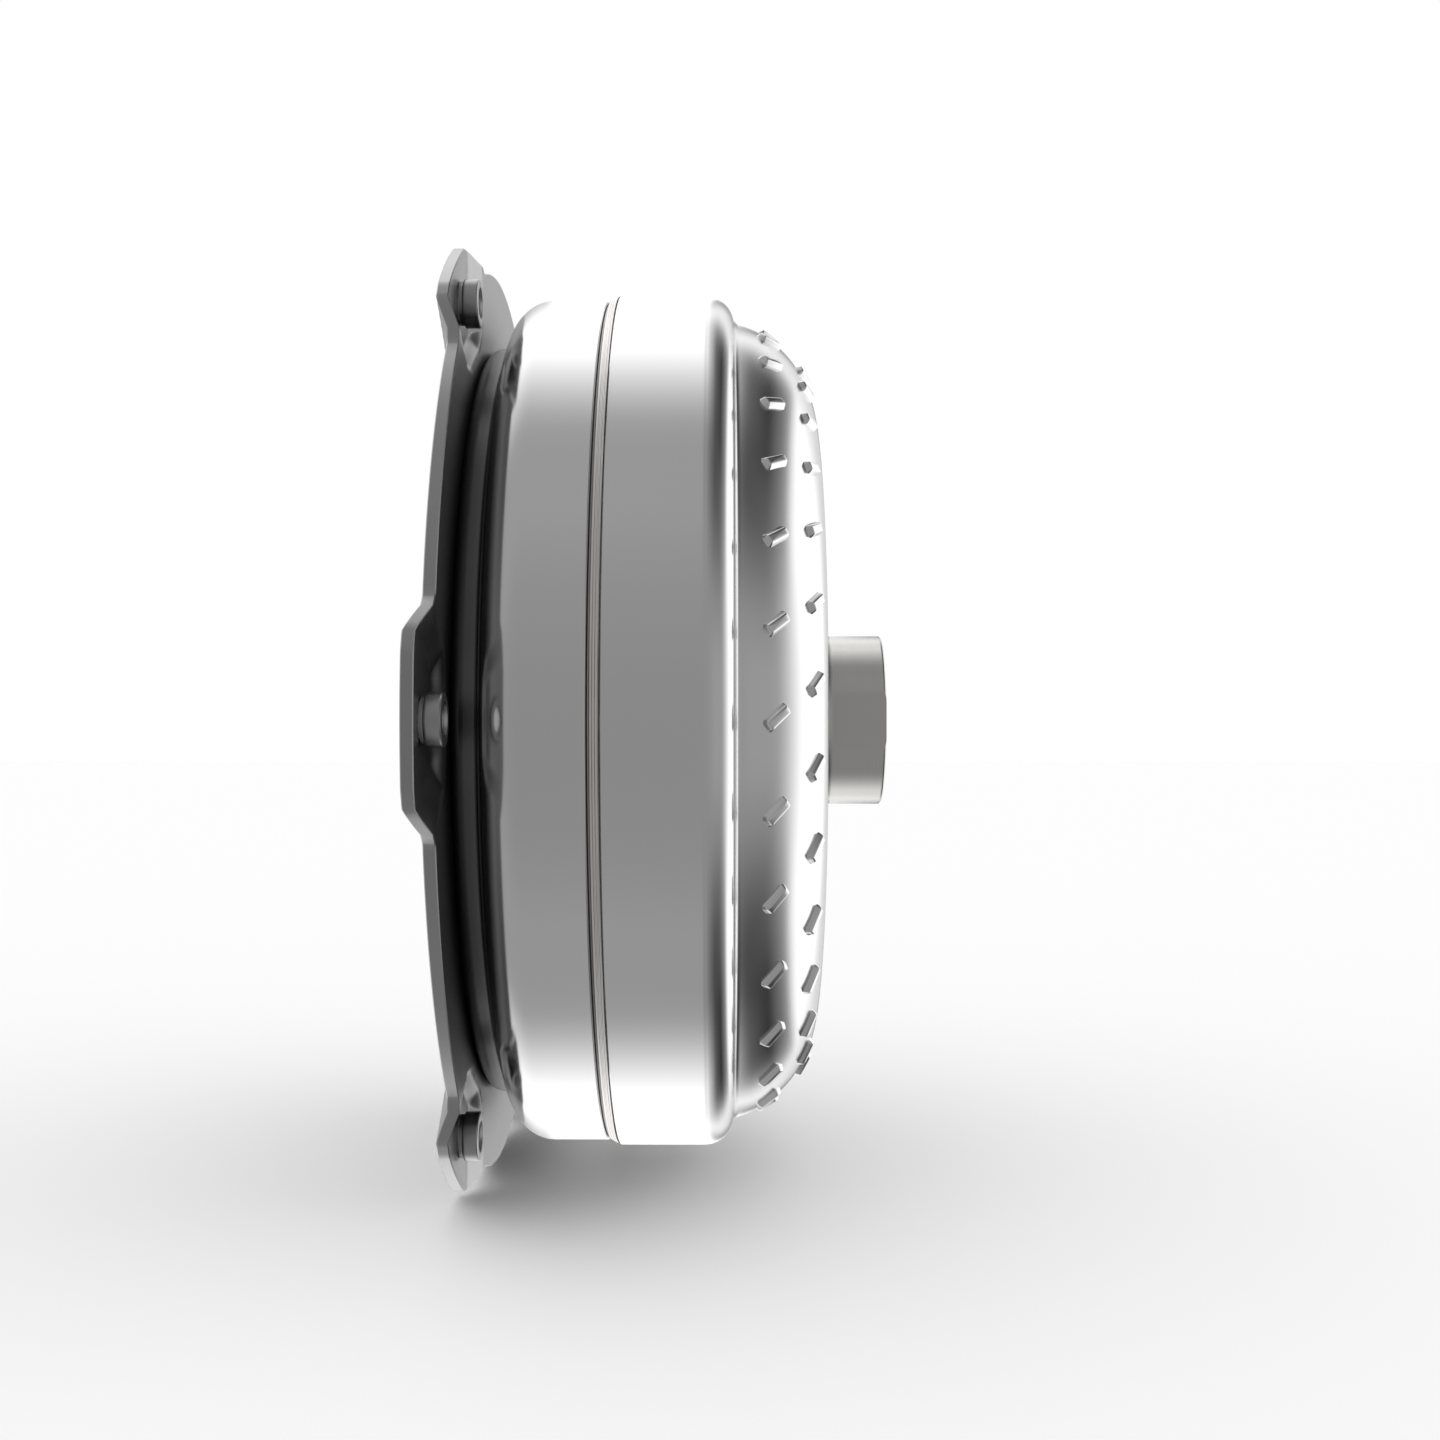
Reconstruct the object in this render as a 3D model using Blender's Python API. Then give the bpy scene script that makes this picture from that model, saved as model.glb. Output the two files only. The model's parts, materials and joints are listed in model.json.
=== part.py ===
"""Torque converter with a lock-up clutch, built as the separate pieces that it is made of.

Metres. The turning axis is X: the engine side is at -X and the transmission side at +X.
The origin is the middle of the crank pilot's face. Angles round the axis are in degrees,
start at -Y and grow towards +Z. Profiles are lists of (x, r) points: place along the axis
and distance from it.
"""

import math

import bmesh
import bpy
from mathutils import Matrix, Vector

# Main size, which the ring, the cover, the torus and the damper follow
SHELL_RADIUS = 0.1423

# Clearances
GAP = 0.0003
VANE_TIP_GAP = 0.0014

# Facets round the axis
COVER_FACETS = 36
HUB_FACETS = 24
INNER_FACETS = 30
SMALL_FACETS = 16
BOSS_FACETS = 10
ROLLER_FACETS = 8
SHARP_EDGE_DEG = 35.0

# Crank pilot
PILOT_RADIUS = 0.0216
PILOT_LENGTH = 0.0175
PILOT_CHAMFER = 0.0015
PILOT_FLANGE_RADIUS = 0.026
PILOT_FLANGE_THICKNESS = 0.0032
PILOT_SPIGOT_RADIUS = 0.014
PILOT_SPIGOT_REACH = 0.0015

# Mounting ring and its lugs
LUG_COUNT = 6
LUG_FACE_X = 0.0145
PAD_LIFT = 0.0037
RING_THICKNESS = 0.0036
RING_OVERHANG = 0.0067
RING_HOLE_SHARE = 0.8
LUG_REACH = 0.010
LUG_CORNER_DROP = 0.0016
BOLT_EDGE_DISTANCE = 0.01295
BOLT_HOLE_RADIUS = 0.0052
LUG_TIP_DEG = 6.5
LUG_CORNER_DEG = 8.7
LUG_FOOT_DEG = 12.9
POCKET_END_PLACE = 0.561
POCKET_FLOOR_PLACE = 0.684
POCKET_END_SHARE = 0.35
RING_WELD_LEG = 0.0032
LUG_SIDE_RAYS = 3

# Lug bosses
BOSS_RADIUS = 0.0074
BOSS_BORE_RADIUS = 0.00425
BOSS_LENGTH = 0.0059
BOSS_COLLAR_LENGTH = 0.0012
BOSS_COLLAR_DEPTH = 0.0008
BOSS_CHAMFER = 0.0007

# Front cover
COVER_WALL = 0.005
COVER_STEP = 0.0018
CENTRE_FLAT_RADIUS = 0.034
CENTRE_SLOPE_RADIUS = 0.046
DISH_DEPTH = 0.0055
DISH_OUTER_SHARE = 0.656
LAND_INNER_SHARE = 0.744
LAND_INSET = 0.0173
LAND_FILLET = 0.004
LAND_HEIGHT = 0.0084
COVER_CORNER_RADIUS = 0.013
SEAM_X = 0.061
SPIGOT_LENGTH = 0.008

# Seam weld
SEAM_WIDTH = 0.0038
SEAM_NOTCH = 0.0027
SEAM_CROWN_DROP = 0.0004

# Impeller shell
SHELL_WALL = 0.004
SHOULDER_RADIUS = 0.0095
SHOULDER_OFFSET = 0.0005
SHOULDER_END_DEG = 12.0
TORUS_INSET = 0.0073
TORUS_SHARE = 0.26
INNER_ARC_END_DEG = 70.0
DISH_START_DEG = -31.0
HUB_FLANGE_RADIUS = 0.050

# Raised vane seats on the shell
VANE_COUNT = 31
SEAT_LENGTH = 0.0094
SEAT_WIDTH = 0.0042
SEAT_HEIGHT = 0.0017
SEAT_BEVEL = 0.001
SEAT_SLANT_DEG = 38.0
SEAT_CELL_REACH_DEG = 11.5
OUTER_SEAT_DEG = 55.4
OUTER_SEAT_TURN_DEG = 0.3
INNER_SEAT_DEG = 29.0
INNER_SEAT_TURN_DEG = -0.8

# Pump hub
HUB_LENGTH = 0.02798
HUB_RADIUS = 0.02876
HUB_BORE_RADIUS = 0.0205
HUB_FLANGE_THICKNESS = 0.0067
HUB_NECK_FILLET = 0.0037
HUB_CORNER = 0.001
HUB_FLAT_DISTANCE = 0.02725
HUB_SPIGOT_RADIUS = 0.045
HUB_WELD_LEG = 0.0035

# Lock-up piston
APPLY_GAP = 0.001
LINING_THICKNESS = 0.0015
LINING_MARGIN = 0.004
LINING_INSET = 0.001
PISTON_INSET = 0.0065
PISTON_THICKNESS = 0.0025
PISTON_DISH = 0.0061
PISTON_DISH_MARGIN = 0.003
PISTON_SLEEVE_LENGTH = 0.011
PISTON_SLEEVE_WALL = 0.003
PISTON_LUG_REACH = 0.0175
PISTON_LUG_HEIGHT = 0.0045
PISTON_LUG_CLEARANCE = 0.001
SEAL_WIDTH = 0.0017
SEAL_HEIGHT = 0.00125

# Turbine hub
TURBINE_NOSE_RADIUS = 0.0245
TURBINE_SLEEVE_RADIUS = 0.033
TURBINE_NECK_RADIUS = 0.0374
TURBINE_FLANGE_CLEARANCE = 0.0015
TURBINE_FLANGE_THICKNESS = 0.005
TURBINE_BOSS_RADIUS = 0.045
TURBINE_BOSS_LENGTH = 0.0043
TURBINE_NOSE_LENGTH = 0.0034
WASHER_THICKNESS = 0.002
WASHER_RADIUS = 0.024

# Turbine shell
TURBINE_WALL = 0.002
TURBINE_FLAT_SHARE = 0.67
TURBINE_EDGE_DEG = 98.0

# Damper
DAMPER_COUNT = 6
CARRIER_SETBACK = 0.013
CARRIER_THICKNESS = 0.0025
CARRIER_MARGIN = 0.004
CARRIER_TAB_REACH = 0.0048
CARRIER_TAB_HALF_DEG = 10.5
DRIVEN_THICKNESS = 0.003
DRIVEN_CLEARANCE = 0.0015
SPRING_INSET = 0.010
SPRING_HALF_DEG = 17.0
SPRING_RADIUS = 0.0055
SPRING_WIRE = 0.0014
SPRING_TURNS = 4
SPRING_STEPS = 5
SPRING_SIDES = 3
WINDOW_HALF_DEG = 19.5
WINDOW_MARGIN = 0.0005

# Vane rings
CORE_RADIUS = 0.015
CORE_WALL = 0.0015
VANE_THICKNESS = 0.0014
VANE_EDGE_DEG = 86.0
VANE_END_DEG = -45.0
VANE_STRIPS = 3
IMPELLER_SWEEP = 0.2
TURBINE_VANE_COUNT = 27
TURBINE_SWEEP = -0.22

# Stator and its one-way clutch
STATOR_BLADE_COUNT = 13
STATOR_RIM_THICKNESS = 0.0018
STATOR_BLADE_TWIST_DEG = 38.0
STATOR_BLADE_CHORD = 0.0165
STATOR_BLADE_THICKNESS = 0.0034
CLUTCH_WIDTH = 0.020
CLUTCH_PLATE_THICKNESS = 0.002
CLUTCH_PLATE_MARGIN = 0.005
INNER_RACE_SHARE = 0.446
OUTER_RACE_WALL = 0.0099
OUTER_RACE_CLEARANCE = 0.0028
ROLLER_COUNT = 8
ROLLER_RADIUS = 0.0039
POCKET_HALF_DEG = 11.0
POCKET_RAMP = 0.0006

# Splines
STATOR_SPLINE_SHARE = 0.6036
TURBINE_SPLINE_RADIUS = 0.0115
SPLINE_DEPTH = 0.0014
SPLINE_TEETH = 12

# Thrust bearings
BEARING_INNER_RADIUS = 0.031
BEARING_RADIUS = 0.044
RACE_THICKNESS = 0.0015
CAGE_THICKNESS = 0.0033

# Radii of the housing, worked out from the sizes above
COVER_RADIUS = SHELL_RADIUS - COVER_STEP
RING_RADIUS = SHELL_RADIUS + RING_OVERHANG
LUG_RADIUS = RING_RADIUS + LUG_REACH
BOLT_CIRCLE_RADIUS = LUG_RADIUS - BOLT_EDGE_DISTANCE
LAND_RADIUS = SHELL_RADIUS - LAND_INSET
RING_HOLE_RADIUS = LAND_RADIUS * RING_HOLE_SHARE
RING_WIDTH = RING_RADIUS - RING_HOLE_RADIUS
POCKET_END_RADIUS = RING_HOLE_RADIUS + RING_WIDTH * POCKET_END_PLACE
POCKET_FLOOR_RADIUS = RING_HOLE_RADIUS + RING_WIDTH * POCKET_FLOOR_PLACE
LAND_INNER_RADIUS = LAND_RADIUS * LAND_INNER_SHARE
DISH_OUTER_RADIUS = LAND_RADIUS * DISH_OUTER_SHARE
TORUS_OUTER_RADIUS = SHELL_RADIUS * TORUS_SHARE
TORUS_CENTRE_RADIUS = SHELL_RADIUS - TORUS_INSET - TORUS_OUTER_RADIUS
TORUS_INNER_RADIUS = TORUS_OUTER_RADIUS - SHELL_WALL
TURBINE_FLAT_DEPTH = TORUS_INNER_RADIUS * TURBINE_FLAT_SHARE

# Places along the axis
COVER_CENTRE_X = PILOT_LENGTH + PILOT_FLANGE_THICKNESS + GAP
DISH_X = COVER_CENTRE_X + DISH_DEPTH
RING_X = LUG_FACE_X + PAD_LIFT
RING_BACK_X = RING_X + RING_THICKNESS
LAND_X = RING_BACK_X + GAP
COVER_CREASE_X = LAND_X + LAND_HEIGHT
COVER_CORNER_X = COVER_CREASE_X + COVER_CORNER_RADIUS
SHELL_START_X = SEAM_X + SEAM_WIDTH
CLUTCH_FACE_X = LAND_X + COVER_WALL
LINING_X = CLUTCH_FACE_X + APPLY_GAP
PISTON_X = LINING_X + LINING_THICKNESS + GAP
PISTON_WEB_X = PISTON_X + PISTON_DISH
PISTON_BACK_X = PISTON_WEB_X + PISTON_THICKNESS
CARRIER_X = PISTON_BACK_X + CARRIER_SETBACK
DRIVEN_X = CARRIER_X + CARRIER_THICKNESS + CARRIER_TAB_REACH + GAP
TURBINE_FLANGE_X = DRIVEN_X + DRIVEN_THICKNESS + GAP
TURBINE_FLAT_X = TURBINE_FLANGE_X + TURBINE_FLANGE_THICKNESS + GAP
TURBINE_FLAT_BACK_X = TURBINE_FLAT_X + TURBINE_WALL
TORUS_X = TURBINE_FLAT_BACK_X + TURBINE_FLAT_DEPTH
WASHER_X = COVER_CENTRE_X + COVER_WALL + GAP
TURBINE_NOSE_X = WASHER_X + WASHER_THICKNESS + GAP
CLUTCH_FRONT_X = TORUS_X - CLUTCH_WIDTH / 2
CLUTCH_BACK_X = TORUS_X + CLUTCH_WIDTH / 2
FRONT_PLATE_X = CLUTCH_FRONT_X - GAP - CLUTCH_PLATE_THICKNESS
REAR_PLATE_X = CLUTCH_BACK_X + GAP
BEARING_THICKNESS = RACE_THICKNESS + CAGE_THICKNESS + GAP
FRONT_BEARING_X = FRONT_PLATE_X - GAP - BEARING_THICKNESS
REAR_BEARING_X = REAR_PLATE_X + CLUTCH_PLATE_THICKNESS + GAP
TURBINE_BACK_X = FRONT_BEARING_X - GAP
HUB_NOSE_X = REAR_BEARING_X + BEARING_THICKNESS + GAP
DISH_FLAT_X = TORUS_X + TORUS_OUTER_RADIUS * math.cos(math.radians(DISH_START_DEG))
HUB_FLANGE_X = DISH_FLAT_X + GAP
HUB_END_X = HUB_FLANGE_X + HUB_LENGTH

# Radii of the pieces inside
DRIVEN_TO_TORUS = TORUS_X - DRIVEN_X - DRIVEN_THICKNESS
TURBINE_OUTSIDE = TORUS_INNER_RADIUS + TURBINE_WALL
TURBINE_WALL_RADIUS = TORUS_CENTRE_RADIUS - math.sqrt(TURBINE_OUTSIDE**2 - DRIVEN_TO_TORUS**2)
DRIVEN_RADIUS = TURBINE_WALL_RADIUS - DRIVEN_CLEARANCE
SPRING_CIRCLE_RADIUS = DRIVEN_RADIUS - SPRING_INSET
SPRING_CHORD_RADIUS = SPRING_CIRCLE_RADIUS * math.cos(math.radians(SPRING_HALF_DEG))
TURBINE_FLANGE_RADIUS = SPRING_CHORD_RADIUS - SPRING_RADIUS - TURBINE_FLANGE_CLEARANCE
PISTON_LUG_RADIUS = SPRING_CIRCLE_RADIUS + SPRING_RADIUS + PISTON_LUG_CLEARANCE
PISTON_LUG_TOP_RADIUS = PISTON_LUG_RADIUS + PISTON_LUG_HEIGHT
CARRIER_RADIUS = PISTON_LUG_TOP_RADIUS + CARRIER_MARGIN
PISTON_DISH_RADIUS = DISH_OUTER_RADIUS + PISTON_DISH_MARGIN
PISTON_RADIUS = LAND_RADIUS - PISTON_INSET
LINING_RADIUS = PISTON_RADIUS - LINING_INSET
LINING_INNER_RADIUS = LAND_INNER_RADIUS + LINING_MARGIN
STATOR_HUB_RADIUS = TORUS_CENTRE_RADIUS - TORUS_INNER_RADIUS
STATOR_SHROUD_RADIUS = TORUS_CENTRE_RADIUS - CORE_RADIUS
INNER_RACE_RADIUS = STATOR_HUB_RADIUS * INNER_RACE_SHARE
STATOR_SPLINE_RADIUS = INNER_RACE_RADIUS * STATOR_SPLINE_SHARE
ROLLER_CIRCLE_RADIUS = INNER_RACE_RADIUS + GAP + ROLLER_RADIUS
OUTER_RACE_LAND_RADIUS = INNER_RACE_RADIUS + OUTER_RACE_CLEARANCE
OUTER_RACE_RADIUS = ROLLER_CIRCLE_RADIUS + ROLLER_RADIUS + OUTER_RACE_WALL
CLUTCH_PLATE_RADIUS = OUTER_RACE_RADIUS + CLUTCH_PLATE_MARGIN

COLOURS = {
    "satin_steel": ((0.52, 0.52, 0.53), 0.30),
    "flange_steel": ((0.33, 0.33, 0.34), 0.42),
    "weld_steel": ((0.42, 0.39, 0.36), 0.45),
    "turned_steel": ((0.50, 0.49, 0.47), 0.26),
    "pressed_steel": ((0.40, 0.41, 0.42), 0.40),
    "spring_steel": ((0.20, 0.21, 0.23), 0.35),
    "cast_aluminium": ((0.66, 0.67, 0.68), 0.50),
    "friction_paper": ((0.30, 0.20, 0.12), 0.85),
    "seal_rubber": ((0.05, 0.05, 0.05), 0.70),
    "washer_bronze": ((0.62, 0.43, 0.20), 0.40),
}
NOT_METAL = ("friction_paper", "seal_rubber")


def clear_scene():
    """Start from an empty scene."""
    for thing in list(bpy.data.objects):
        bpy.data.objects.remove(thing, do_unlink=True)


def material(name):
    """The Principled material of that name, made once."""
    found = bpy.data.materials.get(name)
    if found:
        return found
    colour, roughness = COLOURS[name]
    made = bpy.data.materials.new(name)
    made.use_nodes = True
    shader = made.node_tree.nodes["Principled BSDF"]
    shader.inputs["Base Color"].default_value = (*colour, 1.0)
    shader.inputs["Roughness"].default_value = roughness
    shader.inputs["Metallic"].default_value = 0.0 if name in NOT_METAL else 1.0
    return made


def add_object(name, mesh, finish):
    """Put a finished bmesh in the scene as a named object with its faces pointing out."""
    bmesh.ops.remove_doubles(mesh, verts=mesh.verts, dist=1e-7)
    bmesh.ops.recalc_face_normals(mesh, faces=mesh.faces)
    data = bpy.data.meshes.new(name)
    mesh.to_mesh(data)
    mesh.free()
    data.shade_smooth()
    data.set_sharp_from_angle(angle=math.radians(SHARP_EDGE_DEG))
    data.materials.append(material(finish))
    thing = bpy.data.objects.new(name, data)
    bpy.context.scene.collection.objects.link(thing)
    return thing


def as_cutter(thing):
    """Mark an object as a guide for a Boolean, which isn't a piece of the part."""
    thing.hide_render = True
    thing.display_type = "WIRE"
    return thing


def boolean(thing, tool, operation):
    """Add an exact Boolean modifier with the given tool."""
    step = thing.modifiers.new(operation.title(), "BOOLEAN")
    step.operation = operation
    step.solver = "EXACT"
    step.object = as_cutter(tool)


def at(x, radius, degrees):
    """The point at that place along the axis, distance from it and angle round it."""
    angle = math.radians(degrees)
    return Vector((x, -radius * math.cos(angle), radius * math.sin(angle)))


def arc(x, radius, size, start, end, steps):
    """Profile points on an arc round (x, radius); 0 degrees points to +X and 90 outwards."""
    points = []
    for step in range(steps + 1):
        angle = math.radians(start + (end - start) * step / steps)
        points.append((x + size * math.cos(angle), radius + size * math.sin(angle)))
    return points


def bore_round(radius, facet_deg):
    """Radius of a faceted bore whose flats stay a gap clear of a round shaft."""
    return (radius + GAP) / math.cos(math.radians(facet_deg / 2))


def turned_mesh(profile, facets):
    """A closed profile, or one that ends on the axis, spun once round the axis."""
    mesh = bmesh.new()
    points = [mesh.verts.new(at(x, radius, 0)) for x, radius in profile]
    edges = [mesh.edges.new(pair) for pair in zip(points, points[1:])]
    if profile[0][1] > 0:
        edges.append(mesh.edges.new((points[-1], points[0])))
    bmesh.ops.spin(
        mesh,
        geom=points + edges,
        axis=(1, 0, 0),
        cent=(0, 0, 0),
        angle=math.tau,
        steps=facets,
        use_merge=True,
    )
    return mesh


def turned(name, profile, facets, finish):
    """A turned piece."""
    return add_object(name, turned_mesh(profile, facets), finish)


def washer(name, x, thickness, inner, outer, facets, finish):
    """A flat ring from x to x + thickness."""
    profile = [(x, inner), (x, outer), (x + thickness, outer), (x + thickness, inner)]
    return turned(name, profile, facets, finish)


def rod(name, start, end, radius, facets, finish):
    """A round bar along X between two centre points."""
    mesh = bmesh.new()
    middle = (Vector(start) + Vector(end)) / 2
    turn = Matrix.Rotation(math.pi / 2, 4, "Y")
    bmesh.ops.create_cone(
        mesh,
        cap_ends=True,
        segments=facets,
        radius1=radius,
        radius2=radius,
        depth=(Vector(end) - Vector(start)).length,
        matrix=Matrix.Translation(middle) @ turn,
    )
    return add_object(name, mesh, finish)


def joined_rods(name, x_start, x_end, circle, count, first_deg, radius, facets, finish):
    """Equal bars along X on a circle round the axis, as one guide object."""
    mesh = bmesh.new()
    turn = Matrix.Rotation(math.pi / 2, 4, "Y")
    for index in range(count):
        middle = at((x_start + x_end) / 2, circle, first_deg + 360 * index / count)
        bmesh.ops.create_cone(
            mesh,
            cap_ends=True,
            segments=facets,
            radius1=radius,
            radius2=radius,
            depth=x_end - x_start,
            matrix=Matrix.Translation(middle) @ turn,
        )
    return add_object(name, mesh, finish)


def extruded(mesh, faces, offset):
    """Extrude flat faces by an offset and close the far side."""
    made = bmesh.ops.extrude_face_region(mesh, geom=faces, use_keep_orig=True)
    moved = [item for item in made["geom"] if isinstance(item, bmesh.types.BMVert)]
    bmesh.ops.translate(mesh, verts=moved, vec=offset)


def raise_lug(mesh, target, reach):
    """Extrude the face that lies nearest to the target along X, and close the body again."""
    face = min(mesh.faces, key=lambda f: (f.calc_center_median() - target).length)
    made = bmesh.ops.extrude_face_region(mesh, geom=[face])
    moved = [item for item in made["geom"] if isinstance(item, bmesh.types.BMVert)]
    bmesh.ops.translate(mesh, verts=moved, vec=(reach, 0, 0))
    bmesh.ops.delete(mesh, geom=[face], context="FACES_ONLY")


def polar_plate(x, thickness, radii, angles, is_open):
    """A flat plate cut out of a grid of rings and rays; is_open(ring, ray) names the holes."""
    mesh = bmesh.new()
    grid = [[mesh.verts.new(at(x, radius, angle)) for angle in angles] for radius in radii]
    faces = []
    for ring in range(len(radii) - 1):
        for ray in range(len(angles)):
            if is_open(ring, ray):
                continue
            after = (ray + 1) % len(angles)
            corners = (grid[ring][ray], grid[ring][after], grid[ring + 1][after], grid[ring + 1][ray])
            faces.append(mesh.faces.new(corners))
    bmesh.ops.delete(mesh, geom=[v for v in mesh.verts if not v.link_faces], context="VERTS")
    extruded(mesh, faces, (thickness, 0, 0))
    return mesh


def make_crank_pilot():
    """Turned stub, solid, with a welding flange and a spigot through the cover."""
    flange_x = PILOT_LENGTH
    seat_x = PILOT_LENGTH + PILOT_FLANGE_THICKNESS
    end_x = COVER_CENTRE_X + COVER_WALL + PILOT_SPIGOT_REACH
    profile = [
        (0, 0),
        (0, PILOT_RADIUS - PILOT_CHAMFER),
        (PILOT_CHAMFER, PILOT_RADIUS),
        (flange_x, PILOT_RADIUS),
        (flange_x, PILOT_FLANGE_RADIUS),
        (seat_x, PILOT_FLANGE_RADIUS),
        (seat_x, PILOT_SPIGOT_RADIUS),
        (end_x, PILOT_SPIGOT_RADIUS),
        (end_x, 0),
    ]
    turned("crank_pilot", profile, HUB_FACETS, "turned_steel")


def cover_profile():
    """Outside from the middle hole to the rim, then back along the inside."""
    hole = PILOT_SPIGOT_RADIUS + GAP
    corner_radius = COVER_RADIUS - COVER_CORNER_RADIUS
    spigot = SHELL_RADIUS - SHELL_WALL - GAP
    inside = COVER_RADIUS - COVER_WALL
    back_x = COVER_CREASE_X + COVER_WALL
    land_corner = arc(LAND_X + LAND_FILLET, LAND_RADIUS - LAND_FILLET, LAND_FILLET, 180, 90, 2)
    corner = arc(COVER_CORNER_X, corner_radius, COVER_CORNER_RADIUS, 180, 90, 3)
    return (
        [
            (COVER_CENTRE_X, hole),
            (COVER_CENTRE_X, CENTRE_FLAT_RADIUS),
            (DISH_X, CENTRE_SLOPE_RADIUS),
            (DISH_X, DISH_OUTER_RADIUS),
            (LAND_X, LAND_INNER_RADIUS),
        ]
        + land_corner
        + [(COVER_CREASE_X, LAND_RADIUS + GAP)]
        + corner
        + [
            (SEAM_X, COVER_RADIUS),
            (SEAM_X, spigot),
            (SEAM_X + SPIGOT_LENGTH, spigot),
            (SEAM_X + SPIGOT_LENGTH, inside),
            (COVER_CORNER_X, inside),
            (back_x + COVER_WALL / 2, inside - COVER_WALL / 2),
            (back_x, LAND_RADIUS),
            (CLUTCH_FACE_X, LAND_RADIUS - COVER_WALL),
            (CLUTCH_FACE_X, LAND_INNER_RADIUS + COVER_WALL / 3),
            (DISH_X + COVER_WALL, DISH_OUTER_RADIUS + COVER_WALL / 3),
            (DISH_X + COVER_WALL, CENTRE_SLOPE_RADIUS),
            (COVER_CENTRE_X + COVER_WALL, CENTRE_FLAT_RADIUS),
            (COVER_CENTRE_X + COVER_WALL, hole),
        ]
    )


def make_front_cover():
    """Deep drawn cover with the raised land that carries the ring."""
    turned("front_cover", cover_profile(), COVER_FACETS, "satin_steel")


def lug_rays():
    """Rays round the ring: angle at the rim, angle at the pocket's end, height share, lug share.

    The pocket behind a lug narrows inwards, so its rays are skewed.
    """
    pitch = 360 / LUG_COUNT
    between = LUG_SIDE_RAYS
    rays = []
    for lug in range(LUG_COUNT):
        middle = lug * pitch
        for side in (-1, 1):
            marks = [(LUG_FOOT_DEG, 0, 0), (LUG_CORNER_DEG, 1, 1), (LUG_TIP_DEG, 1, 2)]
            if side == 1:
                marks = [(0, 1, 2)] + marks[::-1]
            for degrees, raised, tip in marks:
                offset = side * degrees
                rays.append((middle + offset, middle + offset * POCKET_END_SHARE, raised, tip))
        span = pitch - 2 * LUG_FOOT_DEG
        inner_span = pitch - 2 * LUG_FOOT_DEG * POCKET_END_SHARE
        for step in range(1, between + 1):
            share = step / (between + 1)
            outer_angle = middle + LUG_FOOT_DEG + span * share
            inner_angle = middle + LUG_FOOT_DEG * POCKET_END_SHARE + inner_span * share
            rays.append((outer_angle, inner_angle, 0, 0))
    return rays


def make_mounting_ring():
    """Pressed ring: each lug is embossed forwards, which leaves a pocket behind it."""
    rays = lug_rays()
    reach = {0: RING_RADIUS, 1: LUG_RADIUS - LUG_CORNER_DROP, 2: LUG_RADIUS}
    mesh = bmesh.new()
    rows = []
    for index, (outer_angle, inner_angle, raised, tip) in enumerate(rays):
        hole_angle = (index - LUG_SIDE_RAYS) * 360 / len(rays)
        rim = reach[tip]
        floor_share = (POCKET_FLOOR_RADIUS - POCKET_END_RADIUS) / (rim - POCKET_END_RADIUS)
        floor_angle = inner_angle + (outer_angle - inner_angle) * (floor_share + 0.25)
        top_x = RING_X - raised * PAD_LIFT
        rows.append(
            [
                at(RING_X, RING_HOLE_RADIUS, hole_angle),
                at(RING_X, POCKET_END_RADIUS, inner_angle),
                at(top_x, POCKET_FLOOR_RADIUS, floor_angle),
                at(top_x, rim, outer_angle),
            ]
        )
    grid = [[mesh.verts.new(point) for point in row] for row in rows]
    faces = []
    for ray in range(len(grid)):
        near, far = grid[ray], grid[(ray + 1) % len(grid)]
        for ring in range(len(near) - 1):
            faces.append(mesh.faces.new((near[ring], near[ring + 1], far[ring + 1], far[ring])))
    extruded(mesh, faces, (RING_THICKNESS, 0, 0))
    ring = add_object("mounting_ring", mesh, "flange_steel")
    holes = joined_rods(
        "bolt_hole_cutter",
        LUG_FACE_X - RING_THICKNESS,
        RING_BACK_X,
        BOLT_CIRCLE_RADIUS,
        LUG_COUNT,
        0,
        BOLT_HOLE_RADIUS,
        BOSS_FACETS,
        "flange_steel",
    )
    boolean(ring, holes, "DIFFERENCE")


def make_ring_weld():
    """Fillet weld between the ring's inner edge and the cover's land."""
    edge = RING_HOLE_RADIUS - GAP
    profile = [
        (RING_BACK_X, edge),
        (RING_BACK_X, edge - RING_WELD_LEG),
        (RING_BACK_X - RING_WELD_LEG, edge),
    ]
    turned("ring_weld_bead", profile, COVER_FACETS, "weld_steel")


def make_lug_bosses():
    """Threaded bosses on the backs of the lugs, each with a thin neck at its foot."""
    foot_x = LUG_FACE_X + RING_THICKNESS + GAP
    end_x = foot_x + BOSS_LENGTH
    neck = BOSS_RADIUS - BOSS_COLLAR_DEPTH
    profile = [
        (foot_x, BOSS_BORE_RADIUS),
        (foot_x, neck),
        (foot_x + BOSS_COLLAR_LENGTH, neck),
        (foot_x + BOSS_COLLAR_LENGTH, BOSS_RADIUS),
        (end_x, BOSS_RADIUS),
        (end_x, BOSS_BORE_RADIUS + BOSS_CHAMFER),
        (end_x - BOSS_CHAMFER, BOSS_BORE_RADIUS),
    ]
    for lug in range(LUG_COUNT):
        mesh = turned_mesh(profile, BOSS_FACETS)
        centre = at(0, BOLT_CIRCLE_RADIUS, lug * 360 / LUG_COUNT)
        bmesh.ops.translate(mesh, verts=mesh.verts, vec=centre)
        add_object(f"lug_boss_{lug + 1}", mesh, "flange_steel")


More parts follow.
